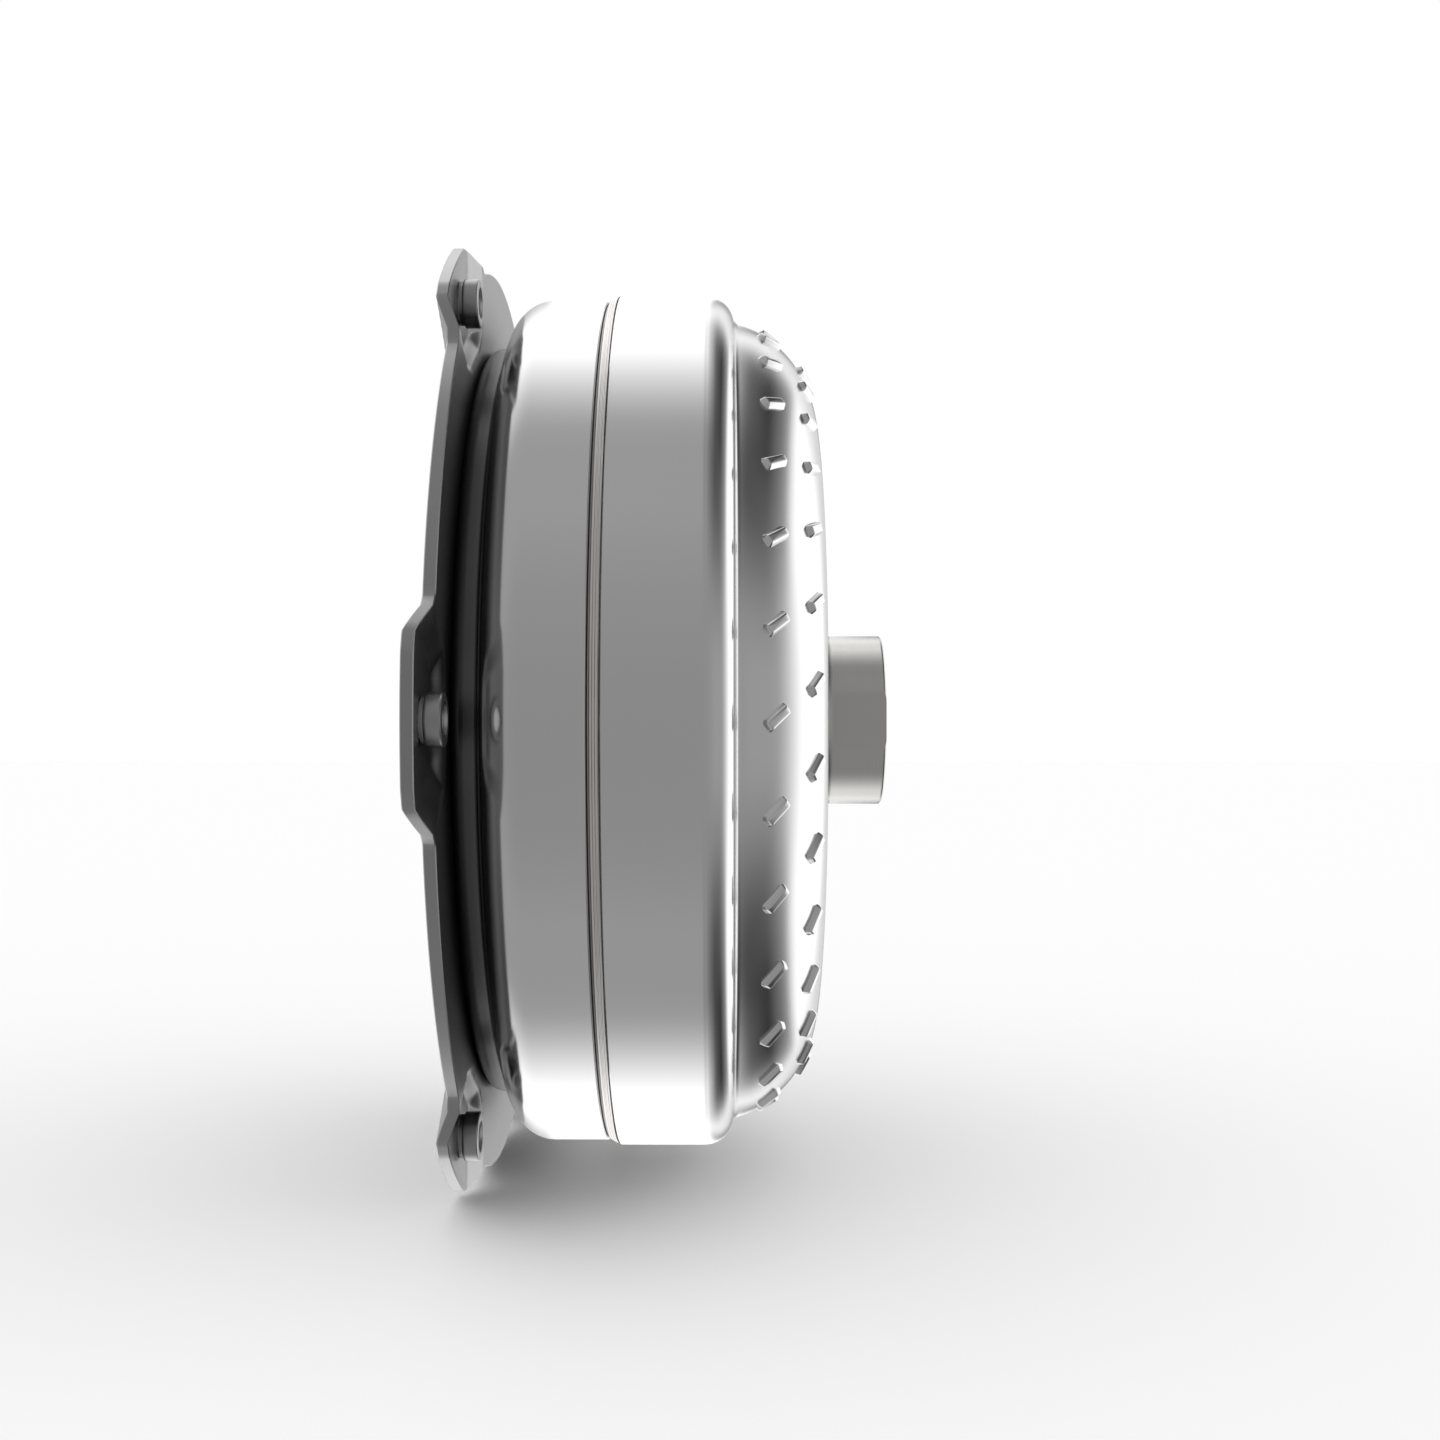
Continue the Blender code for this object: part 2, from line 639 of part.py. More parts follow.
def make_seam_weld():
    """Weld bead that fills the groove between the cover's shoulder and the shell's edge."""
    root = SHELL_RADIUS - SHELL_WALL
    start = SEAM_X + GAP
    end = SHELL_START_X - GAP
    profile = [
        (start, root),
        (start, SHELL_RADIUS - SEAM_NOTCH),
        ((start + end) / 2, SHELL_RADIUS - SEAM_NOTCH / 2),
        (end, SHELL_RADIUS - SEAM_CROWN_DROP),
        (end, root),
    ]
    turned("seam_weld_bead", profile, COVER_FACETS, "weld_steel")


def dome_point(degrees, turn, height=0.0):
    """A point over the dome's outer surface at an angle of the torus and one round the axis."""
    angle = math.radians(degrees)
    size = TORUS_OUTER_RADIUS + height
    return at(TORUS_X + size * math.cos(angle), TORUS_CENTRE_RADIUS + size * math.sin(angle), turn)


def seat_corners(row_deg, turn, inset, height):
    """The corners of one raised seat, which slants across the dome."""
    slant = math.radians(SEAT_SLANT_DEG)
    radius = TORUS_CENTRE_RADIUS + TORUS_OUTER_RADIUS * math.sin(math.radians(row_deg))
    half_length = SEAT_LENGTH / 2 - inset
    half_width = SEAT_WIDTH / 2 - inset
    corners = []
    for along, across in ((-1, -1), (1, -1), (1, 1), (-1, 1)):
        inwards = along * half_length * math.cos(slant) - across * half_width * math.sin(slant)
        round_axis = along * half_length * math.sin(slant) + across * half_width * math.cos(slant)
        corners.append(
            dome_point(
                row_deg - math.degrees(inwards / TORUS_OUTER_RADIUS),
                turn + math.degrees(round_axis / radius),
                height,
            )
        )
    return corners


def add_seat(mesh, border, row_deg, turn):
    """Fill one cell of the dome, whose eight border corners are given, with a raised seat."""
    foot = [mesh.verts.new(point) for point in seat_corners(row_deg, turn, 0, 0)]
    top = [mesh.verts.new(point) for point in seat_corners(row_deg, turn, SEAT_BEVEL, SEAT_HEIGHT)]
    for side in range(4):
        after = (side + 1) % 4
        corner, middle, following = (border[(2 * side + step) % 8] for step in range(3))
        mesh.faces.new((corner, middle, foot[side]))
        mesh.faces.new((middle, foot[after], foot[side]))
        mesh.faces.new((middle, following, foot[after]))
        mesh.faces.new((foot[side], foot[after], top[after], top[side]))
    mesh.faces.new(top)


def shell_rows():
    """Profile rows of the shell from its edge over the outside and back, with the seat rows."""
    shoulder_x = TORUS_X + SHOULDER_OFFSET
    shoulder_r = SHELL_RADIUS - SHOULDER_RADIUS
    inside = SHELL_RADIUS - SHELL_WALL
    hole = HUB_SPIGOT_RADIUS + GAP
    rows = [(SHELL_START_X, SHELL_RADIUS)]
    rows += arc(shoulder_x, shoulder_r, SHOULDER_RADIUS, 90, SHOULDER_END_DEG, 3)
    first_cell = len(rows) + 1
    seats = {
        first_cell: (OUTER_SEAT_DEG, OUTER_SEAT_TURN_DEG, 0),
        first_cell + 2: (INNER_SEAT_DEG, INNER_SEAT_TURN_DEG, 1),
    }
    last = INNER_SEAT_DEG - SEAT_CELL_REACH_DEG
    dome = [
        OUTER_SEAT_DEG + SEAT_CELL_REACH_DEG,
        OUTER_SEAT_DEG,
        (OUTER_SEAT_DEG + INNER_SEAT_DEG) / 2,
        INNER_SEAT_DEG,
        last,
        (last + DISH_START_DEG) / 2,
        DISH_START_DEG,
    ]
    for degrees in dome:
        angle = math.radians(degrees)
        x = TORUS_X + TORUS_OUTER_RADIUS * math.cos(angle)
        rows.append((x, TORUS_CENTRE_RADIUS + TORUS_OUTER_RADIUS * math.sin(angle)))
    flat_back_x = DISH_FLAT_X - SHELL_WALL
    rows += [(DISH_FLAT_X, hole), (flat_back_x, hole)]
    flat_deg = -math.degrees(math.acos((flat_back_x - TORUS_X) / TORUS_INNER_RADIUS))
    rows += arc(TORUS_X, TORUS_CENTRE_RADIUS, TORUS_INNER_RADIUS, flat_deg, INNER_ARC_END_DEG, 4)
    rows += [
        (shoulder_x + SHOULDER_RADIUS - SHELL_WALL, shoulder_r),
        (shoulder_x, inside),
        (SHELL_START_X, inside),
    ]
    return rows, seats


def make_impeller_shell():
    """Shell with a skirt, a shoulder and the two rows of raised vane seats."""
    rows, seats = shell_rows()
    columns = 2 * VANE_COUNT
    mesh = bmesh.new()
    grid = []
    for x, radius in rows:
        grid.append([mesh.verts.new(at(x, radius, 360 * j / columns)) for j in range(columns)])
    filled = set(seats) | {row - 1 for row in seats}
    for row in range(len(rows)):
        if row in filled:
            continue
        after = (row + 1) % len(rows)
        for j in range(columns):
            k = (j + 1) % columns
            mesh.faces.new((grid[row][j], grid[row][k], grid[after][k], grid[after][j]))
    for row, (row_deg, turn, parity) in seats.items():
        for vane in range(VANE_COUNT):
            j = 2 * vane + parity
            before, after = (j - 1) % columns, (j + 1) % columns
            border = [
                grid[row - 1][before],
                grid[row][before],
                grid[row + 1][before],
                grid[row + 1][j],
                grid[row + 1][after],
                grid[row][after],
                grid[row - 1][after],
                grid[row - 1][j],
            ]
            add_seat(mesh, border, row_deg, 360 * j / columns + turn)
    loose = [v for v in mesh.verts if not v.link_faces]
    bmesh.ops.delete(mesh, geom=loose, context="VERTS")
    add_object("impeller_shell", mesh, "satin_steel")


def make_pump_hub():
    """Turned hub: spigot with the bearing seat, flange, neck fillet and two drive flats."""
    face_x = HUB_FLANGE_X + HUB_FLANGE_THICKNESS
    neck_x = face_x + HUB_NECK_FILLET
    fillet = arc(neck_x, HUB_RADIUS + HUB_NECK_FILLET, HUB_NECK_FILLET, 180, 270, 2)
    profile = (
        [
            (HUB_NOSE_X, HUB_BORE_RADIUS),
            (HUB_NOSE_X, HUB_SPIGOT_RADIUS),
            (HUB_FLANGE_X, HUB_SPIGOT_RADIUS),
            (HUB_FLANGE_X, HUB_FLANGE_RADIUS),
            (face_x, HUB_FLANGE_RADIUS),
        ]
        + fillet
        + [
            (HUB_END_X - HUB_CORNER, HUB_RADIUS),
            (HUB_END_X, HUB_RADIUS - HUB_CORNER),
            (HUB_END_X, HUB_BORE_RADIUS),
        ]
    )
    hub = turned("pump_hub", profile, HUB_FACETS, "turned_steel")
    mesh = bmesh.new()
    for side in (-1, 1):
        middle = Vector((neck_x + HUB_RADIUS, side * (HUB_FLAT_DISTANCE + HUB_RADIUS / 2), 0))
        size = Matrix.Diagonal((2 * HUB_RADIUS, HUB_RADIUS, 3 * HUB_RADIUS, 1))
        bmesh.ops.create_cube(mesh, size=1.0, matrix=Matrix.Translation(middle) @ size)
    boolean(hub, add_object("hub_flat_cutter", mesh, "turned_steel"), "DIFFERENCE")


def make_hub_weld():
    """Fillet weld round the hub's flange."""
    edge = HUB_FLANGE_RADIUS + GAP
    profile = [
        (HUB_FLANGE_X, edge),
        (HUB_FLANGE_X + HUB_WELD_LEG, edge),
        (HUB_FLANGE_X, edge + HUB_WELD_LEG),
    ]
    turned("hub_weld_bead", profile, HUB_FACETS, "weld_steel")


def make_vane_ring(name, side, count, sweep):
    """Half a torus core with curved vanes standing on it; side is the way it faces along X."""
    tip_radius = TORUS_INNER_RADIUS - VANE_TIP_GAP
    span = VANE_END_DEG - VANE_EDGE_DEG
    mesh = bmesh.new()

    def ring_point(size, degrees, turn):
        angle = math.radians(degrees)
        x = TORUS_X + side * size * math.cos(angle)
        return at(x, TORUS_CENTRE_RADIUS + size * math.sin(angle), turn)

    def column(size, turn, edge):
        """One line of vertices along the torus, at one side of a vane."""
        line = []
        for strip in range(VANE_STRIPS + 1):
            degrees = VANE_EDGE_DEG + span * strip / VANE_STRIPS
            radius = TORUS_CENTRE_RADIUS + size * math.sin(math.radians(degrees))
            half = math.degrees(VANE_THICKNESS / 2 / radius)
            swept = turn - sweep * (degrees - VANE_EDGE_DEG) + edge * half
            line.append(mesh.verts.new(ring_point(size, degrees, swept)))
        return line

    def wall(first, second):
        """Close the strip between two lines with triangles along its shorter diagonals."""
        for strip in range(VANE_STRIPS):
            a, b = first[strip : strip + 2]
            d, c = second[strip : strip + 2]
            if (a.co - c.co).length < (b.co - d.co).length:
                pieces = ((a, b, c), (a, c, d))
            else:
                pieces = ((a, b, d), (b, c, d))
            for piece in pieces:
                mesh.faces.new(piece)

    vanes = []
    for index in range(count):
        turn = 360 * index / count
        roots = [column(CORE_RADIUS, turn, edge) for edge in (-1, 1)]
        tips = [column(tip_radius, turn, edge) for edge in (-1, 1)]
        back = column(CORE_RADIUS - CORE_WALL, turn, 0)
        vanes.append((roots, back))
        wall(roots[0], tips[0])
        wall(tips[0], tips[1])
        wall(roots[1], tips[1])
        for end in (0, -1):
            mesh.faces.new((roots[0][end], tips[0][end], tips[1][end], roots[1][end]))
            mesh.faces.new((roots[0][end], roots[1][end], back[end]))
    for index in range(count):
        roots, back = vanes[index]
        next_roots, next_back = vanes[(index + 1) % count]
        wall(roots[1], next_roots[0])
        wall(back, next_back)
        for end in (0, -1):
            mesh.faces.new((roots[1][end], next_roots[0][end], next_back[end], back[end]))
    add_object(name, mesh, "pressed_steel")


def make_turbine_shell():
    """Pressed half torus with a flat inner flange."""
    flat_r = TORUS_CENTRE_RADIUS - math.sqrt(TORUS_INNER_RADIUS**2 - TURBINE_FLAT_DEPTH**2)
    end_deg = 180 + math.degrees(math.acos(TURBINE_FLAT_DEPTH / TORUS_INNER_RADIUS))
    hole = TURBINE_BOSS_RADIUS + GAP
    outside = TORUS_INNER_RADIUS + TURBINE_WALL
    inner = arc(TORUS_X, TORUS_CENTRE_RADIUS, TORUS_INNER_RADIUS, TURBINE_EDGE_DEG, end_deg, 5)
    outer = arc(TORUS_X, TORUS_CENTRE_RADIUS, outside, end_deg - 2, TURBINE_EDGE_DEG, 5)
    profile = inner[:-1] + [(TURBINE_FLAT_BACK_X, flat_r), (TURBINE_FLAT_BACK_X, hole), (TURBINE_FLAT_X, hole)]
    turned("turbine_shell", profile + outer, INNER_FACETS, "pressed_steel")


def spline_cutter(name, radius, x_start, x_end):
    """A toothed bar that cuts a splined bore whose teeth reach in to the radius."""
    mesh = bmesh.new()
    steps = 4 * SPLINE_TEETH
    rings = []
    for x in (x_start, x_end):
        ring = []
        for step in range(steps):
            reach = radius + (SPLINE_DEPTH if step % 4 in (1, 2) else 0)
            ring.append(mesh.verts.new(at(x, reach, 360 * (step + 0.5) / steps)))
        rings.append(ring)
    for step in range(steps):
        after = (step + 1) % steps
        mesh.faces.new((rings[0][step], rings[0][after], rings[1][after], rings[1][step]))
    mesh.faces.new(rings[0])
    mesh.faces.new(rings[1])
    return add_object(name, mesh, "turned_steel")


def make_turbine_hub():
    """Turned hub: nose, piston sleeve, neck, flange, bearing boss and splined bore."""
    sleeve_x = TURBINE_NOSE_X + TURBINE_NOSE_LENGTH
    sleeve_end_x = PISTON_WEB_X + PISTON_SLEEVE_LENGTH + 2 * APPLY_GAP
    flange_back_x = TURBINE_FLANGE_X + TURBINE_FLANGE_THICKNESS
    start = TURBINE_SPLINE_RADIUS - SPLINE_DEPTH
    profile = [
        (TURBINE_NOSE_X, start),
        (TURBINE_NOSE_X, TURBINE_NOSE_RADIUS),
        (sleeve_x, TURBINE_NOSE_RADIUS),
        (sleeve_x, TURBINE_SLEEVE_RADIUS),
        (sleeve_end_x, TURBINE_SLEEVE_RADIUS),
        (sleeve_end_x, TURBINE_NECK_RADIUS),
        (TURBINE_FLANGE_X, TURBINE_NECK_RADIUS),
        (TURBINE_FLANGE_X, TURBINE_FLANGE_RADIUS),
        (flange_back_x, TURBINE_FLANGE_RADIUS),
        (flange_back_x, TURBINE_BOSS_RADIUS),
        (TURBINE_BACK_X, TURBINE_BOSS_RADIUS),
        (TURBINE_BACK_X, start),
    ]
    hub = turned("turbine_hub", profile, HUB_FACETS, "turned_steel")
    reach = SPLINE_DEPTH
    bore = spline_cutter(
        "turbine_spline_cutter", TURBINE_SPLINE_RADIUS, TURBINE_NOSE_X - reach, TURBINE_BACK_X + reach
    )
    boolean(hub, bore, "DIFFERENCE")


def make_thrust_washer():
    """Bronze washer round the pilot's spigot, between cover and turbine hub."""
    inner = PILOT_SPIGOT_RADIUS + GAP
    washer(
        "cover_thrust_washer", WASHER_X, WASHER_THICKNESS, inner, WASHER_RADIUS, SMALL_FACETS, "washer_bronze"
    )


def make_piston():
    """Dished plate that slides on the turbine hub, with lugs that drive the damper."""
    bore = TURBINE_SLEEVE_RADIUS + GAP
    sleeve = bore + PISTON_SLEEVE_WALL
    sleeve_x = PISTON_WEB_X + PISTON_SLEEVE_LENGTH
    rim_back_x = PISTON_X + PISTON_THICKNESS
    slope = PISTON_DISH * 1.7
    seal_room = bore + SEAL_HEIGHT + GAP
    seal_x = sleeve_x - SEAL_WIDTH - 2 * GAP
    profile = [
        (PISTON_X, PISTON_RADIUS),
        (rim_back_x, PISTON_RADIUS),
        (rim_back_x, PISTON_DISH_RADIUS + slope + PISTON_THICKNESS / 2),
        (PISTON_BACK_X, PISTON_DISH_RADIUS + PISTON_THICKNESS / 2),
        (PISTON_BACK_X, PISTON_LUG_TOP_RADIUS),
        (PISTON_BACK_X, PISTON_LUG_RADIUS),
        (PISTON_BACK_X, sleeve),
        (sleeve_x, sleeve),
        (sleeve_x, seal_room),
        (seal_x, seal_room),
        (seal_x, bore),
        (PISTON_WEB_X, bore),
        (PISTON_WEB_X, PISTON_DISH_RADIUS),
        (PISTON_X, PISTON_DISH_RADIUS + slope),
    ]
    mesh = turned_mesh(profile, INNER_FACETS)
    bmesh.ops.recalc_face_normals(mesh, faces=mesh.faces)
    step = INNER_FACETS // DAMPER_COUNT
    middle = (PISTON_LUG_RADIUS + PISTON_LUG_TOP_RADIUS) / 2
    for lug in range(DAMPER_COUNT):
        turn = (lug * step + 0.5) * 360 / INNER_FACETS
        raise_lug(mesh, at(PISTON_BACK_X, middle, turn), PISTON_LUG_REACH)
    add_object("piston_plate", mesh, "pressed_steel")
    washer(
        "friction_lining",
        LINING_X,
        LINING_THICKNESS,
        LINING_INNER_RADIUS,
        LINING_RADIUS,
        INNER_FACETS,
        "friction_paper",
    )
    seal_start = seal_x + GAP
    washer(
        "piston_seal", seal_start, SEAL_WIDTH, bore, bore + SEAL_HEIGHT, INNER_FACETS, "seal_rubber"
    )


def make_damper_carrier():
    """Carrier plate: slots for the piston's lugs and tabs that press on the spring ends."""
    pitch = 360 / DAMPER_COUNT
    facet = 360 / INNER_FACETS
    slot_half = facet / 2 + math.degrees(3 * GAP / PISTON_LUG_RADIUS)
    angles = []
    for index in range(DAMPER_COUNT):
        middle = index * pitch + facet / 2
        tab = middle + pitch / 2
        angles += [middle - slot_half, middle + slot_half]
        angles += [tab - CARRIER_TAB_HALF_DEG, tab + CARRIER_TAB_HALF_DEG]
    tab_low = SPRING_CIRCLE_RADIUS - SPRING_RADIUS
    tab_high = SPRING_CIRCLE_RADIUS + SPRING_RADIUS / 2
    slot_low = PISTON_LUG_RADIUS - GAP
    slot_high = PISTON_LUG_TOP_RADIUS + 2 * GAP
    bore = bore_round(TURBINE_NECK_RADIUS, 2 * CARRIER_TAB_HALF_DEG)
    radii = [bore, tab_low, tab_high, slot_low, slot_high, CARRIER_RADIUS]
    mesh = polar_plate(
        CARRIER_X, CARRIER_THICKNESS, radii, angles, lambda ring, ray: ring == 3 and ray % 4 == 0
    )
    bmesh.ops.recalc_face_normals(mesh, faces=mesh.faces)
    tab_middle = (tab_low + tab_high) / 2
    for index in range(DAMPER_COUNT):
        turn = (index + 0.5) * pitch + facet / 2
        tab = at(CARRIER_X + CARRIER_THICKNESS, tab_middle, turn)
        raise_lug(mesh, tab, CARRIER_TAB_REACH)
    add_object("damper_carrier", mesh, "pressed_steel")


def make_driven_plate():
    """Plate fixed to the turbine hub's flange, with a window for each spring."""
    pitch = 360 / DAMPER_COUNT
    facet = 360 / INNER_FACETS
    angles = []
    for index in range(DAMPER_COUNT):
        middle = index * pitch + facet / 2
        angles += [middle - WINDOW_HALF_DEG, middle, middle + WINDOW_HALF_DEG]
    low = SPRING_CHORD_RADIUS - SPRING_RADIUS - WINDOW_MARGIN
    half_length = SPRING_CIRCLE_RADIUS * math.sin(math.radians(SPRING_HALF_DEG))
    high = math.hypot(SPRING_CHORD_RADIUS + SPRING_RADIUS, half_length) + 2 * WINDOW_MARGIN
    bore = bore_round(TURBINE_NECK_RADIUS, pitch - 2 * WINDOW_HALF_DEG)
    radii = [bore, low, high, DRIVEN_RADIUS]
    mesh = polar_plate(
        DRIVEN_X, DRIVEN_THICKNESS, radii, angles, lambda ring, ray: ring == 1 and ray % 3 != 2
    )
    add_object("damper_driven_plate", mesh, "pressed_steel")


def make_damper_springs():
    """Coil springs that lie along chords in the driven plate's windows."""
    half_length = SPRING_CIRCLE_RADIUS * math.sin(math.radians(SPRING_HALF_DEG)) - SPRING_WIRE
    coil = SPRING_RADIUS - SPRING_WIRE
    facet = 360 / INNER_FACETS
    middle_x = DRIVEN_X + DRIVEN_THICKNESS / 2
    steps = SPRING_TURNS * SPRING_STEPS
    for index in range(DAMPER_COUNT):
        turn = index * 360 / DAMPER_COUNT + facet / 2
        outwards = at(0, 1, turn)
        along = at(0, 1, turn + 90)
        forwards = Vector((1, 0, 0))
        centre = outwards * SPRING_CHORD_RADIUS + forwards * middle_x
        mesh = bmesh.new()
        rings = []
        for step in range(steps + 1):
            angle = math.tau * step / SPRING_STEPS
            radial = outwards * math.cos(angle) + forwards * math.sin(angle)
            place = centre + along * (half_length * (2 * step / steps - 1)) + radial * coil
            ring = []
            for side in range(SPRING_SIDES):
                round_wire = math.tau * side / SPRING_SIDES
                offset = radial * math.cos(round_wire) + along * math.sin(round_wire)
                ring.append(mesh.verts.new(place + offset * SPRING_WIRE))
            rings.append(ring)
        for before, after in zip(rings, rings[1:]):
            for side in range(SPRING_SIDES):
                beside = (side + 1) % SPRING_SIDES
                mesh.faces.new((before[side], before[beside], after[beside], after[side]))
        mesh.faces.new(rings[0])
        mesh.faces.new(rings[-1])
        add_object(f"damper_spring_{index + 1}", mesh, "spring_steel")


def blade_outline():
    """Airfoil section of a stator blade: (along the axis, round the axis), thick nose first."""
    half = STATOR_BLADE_CHORD / 2
    thick = STATOR_BLADE_THICKNESS
    flat = [(-half, 0), (-0.75 * half, thick / 2), (-0.2 * half, thick / 2), (half, 0)]
    belly = [(-0.2 * half, -thick / 3), (-0.75 * half, -thick / 2)]
    return flat + belly


def make_stator_wheel():
    """Cast wheel: hub ring, twisted blades and an outer shroud."""
    facets = 2 * STATOR_BLADE_COUNT
    bore = bore_round(OUTER_RACE_RADIUS, 360 / facets)
    wheel = washer(
        "stator_wheel", CLUTCH_FRONT_X, CLUTCH_WIDTH, bore, STATOR_HUB_RADIUS, facets, "cast_aluminium"
    )
    shroud = washer(
        "stator_shroud_guide",
        CLUTCH_FRONT_X + 2 * GAP,
        CLUTCH_WIDTH - 4 * GAP,
        STATOR_SHROUD_RADIUS - STATOR_RIM_THICKNESS / 2,
        STATOR_SHROUD_RADIUS + STATOR_RIM_THICKNESS / 2,
        facets,
        "cast_aluminium",
    )
    mesh = bmesh.new()
    twist = math.radians(STATOR_BLADE_TWIST_DEG)
    root = STATOR_HUB_RADIUS - STATOR_RIM_THICKNESS
    outline = blade_outline()
    for index in range(STATOR_BLADE_COUNT):
        turn = 360 * index / STATOR_BLADE_COUNT
        outwards = at(0, 1, turn)
        sideways = at(0, 1, turn + 90)
        loops = []
        for reach in (root, STATOR_SHROUD_RADIUS):
            loop = []
            for along, across in outline:
                x = along * math.cos(twist) - across * math.sin(twist)
                side = along * math.sin(twist) + across * math.cos(twist)
                point = Vector((TORUS_X + x, 0, 0)) + outwards * reach + sideways * side
                loop.append(mesh.verts.new(point))
            loops.append(loop)
        for corner in range(len(outline)):
            after = (corner + 1) % len(outline)
            mesh.faces.new((loops[0][corner], loops[0][after], loops[1][after], loops[1][corner]))
        mesh.faces.new(loops[0])
        mesh.faces.new(loops[1])
    blades = add_object("stator_blade_guide", mesh, "cast_aluminium")
    boolean(wheel, blades, "UNION")
    boolean(wheel, shroud, "UNION")


def make_one_way_clutch():
    """Inner race with a splined bore, rollers, the outer race's pockets and two side plates."""
    race_x = FRONT_PLATE_X
    race_end_x = REAR_PLATE_X + CLUTCH_PLATE_THICKNESS
    start = STATOR_SPLINE_RADIUS - SPLINE_DEPTH
    race = washer(
        "clutch_inner_race", race_x, race_end_x - race_x, start, INNER_RACE_RADIUS, HUB_FACETS, "turned_steel"
    )
    reach = SPLINE_DEPTH
    bore = spline_cutter("stator_spline_cutter", STATOR_SPLINE_RADIUS, race_x - reach, race_end_x + reach)
    boolean(race, bore, "DIFFERENCE")

    pitch = 360 / ROLLER_COUNT
    deep = (ROLLER_CIRCLE_RADIUS + ROLLER_RADIUS + GAP) / math.cos(math.radians(POCKET_HALF_DEG))
    mesh = bmesh.new()
    columns = []
    for index in range(ROLLER_COUNT):
        middle = index * pitch
        for offset, radius in (
            (-POCKET_HALF_DEG, deep),
            (POCKET_HALF_DEG, deep + POCKET_RAMP),
            (POCKET_HALF_DEG + 1, OUTER_RACE_LAND_RADIUS),
            (pitch - POCKET_HALF_DEG - 1, OUTER_RACE_LAND_RADIUS),
        ):
            corners = ((CLUTCH_FRONT_X, radius), (CLUTCH_FRONT_X, OUTER_RACE_RADIUS))
            corners += ((CLUTCH_BACK_X, OUTER_RACE_RADIUS), (CLUTCH_BACK_X, radius))
            columns.append([mesh.verts.new(at(x, r, middle + offset)) for x, r in corners])
    for index, column in enumerate(columns):
        following = columns[(index + 1) % len(columns)]
        for corner in range(4):
            after = (corner + 1) % 4
            mesh.faces.new((column[corner], column[after], following[after], following[corner]))
    add_object("clutch_outer_race", mesh, "turned_steel")

    for index in range(ROLLER_COUNT):
        centre = at(0, ROLLER_CIRCLE_RADIUS, index * pitch)
        start = centre + Vector((CLUTCH_FRONT_X + GAP, 0, 0))
        end = centre + Vector((CLUTCH_BACK_X - GAP, 0, 0))
        rod(f"clutch_roller_{index + 1}", start, end, ROLLER_RADIUS, ROLLER_FACETS, "turned_steel")

    inner = bore_round(INNER_RACE_RADIUS, 360 / SMALL_FACETS)
    for name, x in (("clutch_front_plate", FRONT_PLATE_X), ("clutch_rear_plate", REAR_PLATE_X)):
        washer(name, x, CLUTCH_PLATE_THICKNESS, inner, CLUTCH_PLATE_RADIUS, SMALL_FACETS, "washer_bronze")


def make_thrust_bearing(x, pieces):
    """Needle thrust bearing: its race and its cage of needles, in the order given."""
    for name, thickness in pieces:
        washer(name, x, thickness, BEARING_INNER_RADIUS, BEARING_RADIUS, SMALL_FACETS, "turned_steel")
        x += thickness + GAP


def build():
    """Make every piece."""
    clear_scene()
    make_crank_pilot()
    make_front_cover()
    make_mounting_ring()
    make_ring_weld()
    make_lug_bosses()
    make_seam_weld()
    make_impeller_shell()
    make_pump_hub()
    make_hub_weld()
    make_vane_ring("impeller_vane_ring", 1, VANE_COUNT, IMPELLER_SWEEP)
    make_vane_ring("turbine_vane_ring", -1, TURBINE_VANE_COUNT, TURBINE_SWEEP)
    make_turbine_shell()
    make_turbine_hub()
    make_thrust_washer()
    make_piston()
    make_damper_carrier()
    make_driven_plate()
    make_damper_springs()
    make_stator_wheel()
    make_one_way_clutch()
    front_pieces = (("front_bearing_race", RACE_THICKNESS), ("front_bearing_cage", CAGE_THICKNESS))
    rear_pieces = (("rear_bearing_cage", CAGE_THICKNESS), ("rear_bearing_race", RACE_THICKNESS))
    make_thrust_bearing(FRONT_BEARING_X, front_pieces)
    make_thrust_bearing(REAR_BEARING_X, rear_pieces)


build()
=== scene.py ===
"""The torque converter's looks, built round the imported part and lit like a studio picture.

Metres, in the part's own frame: the turning axis is X and angles round it start at -Y and
grow towards +Z. Profiles are lists of (x, r) points. Places come from the frame's boxes.
"""

import json
import math

import bmesh
import bpy
from mathutils import Matrix, Vector


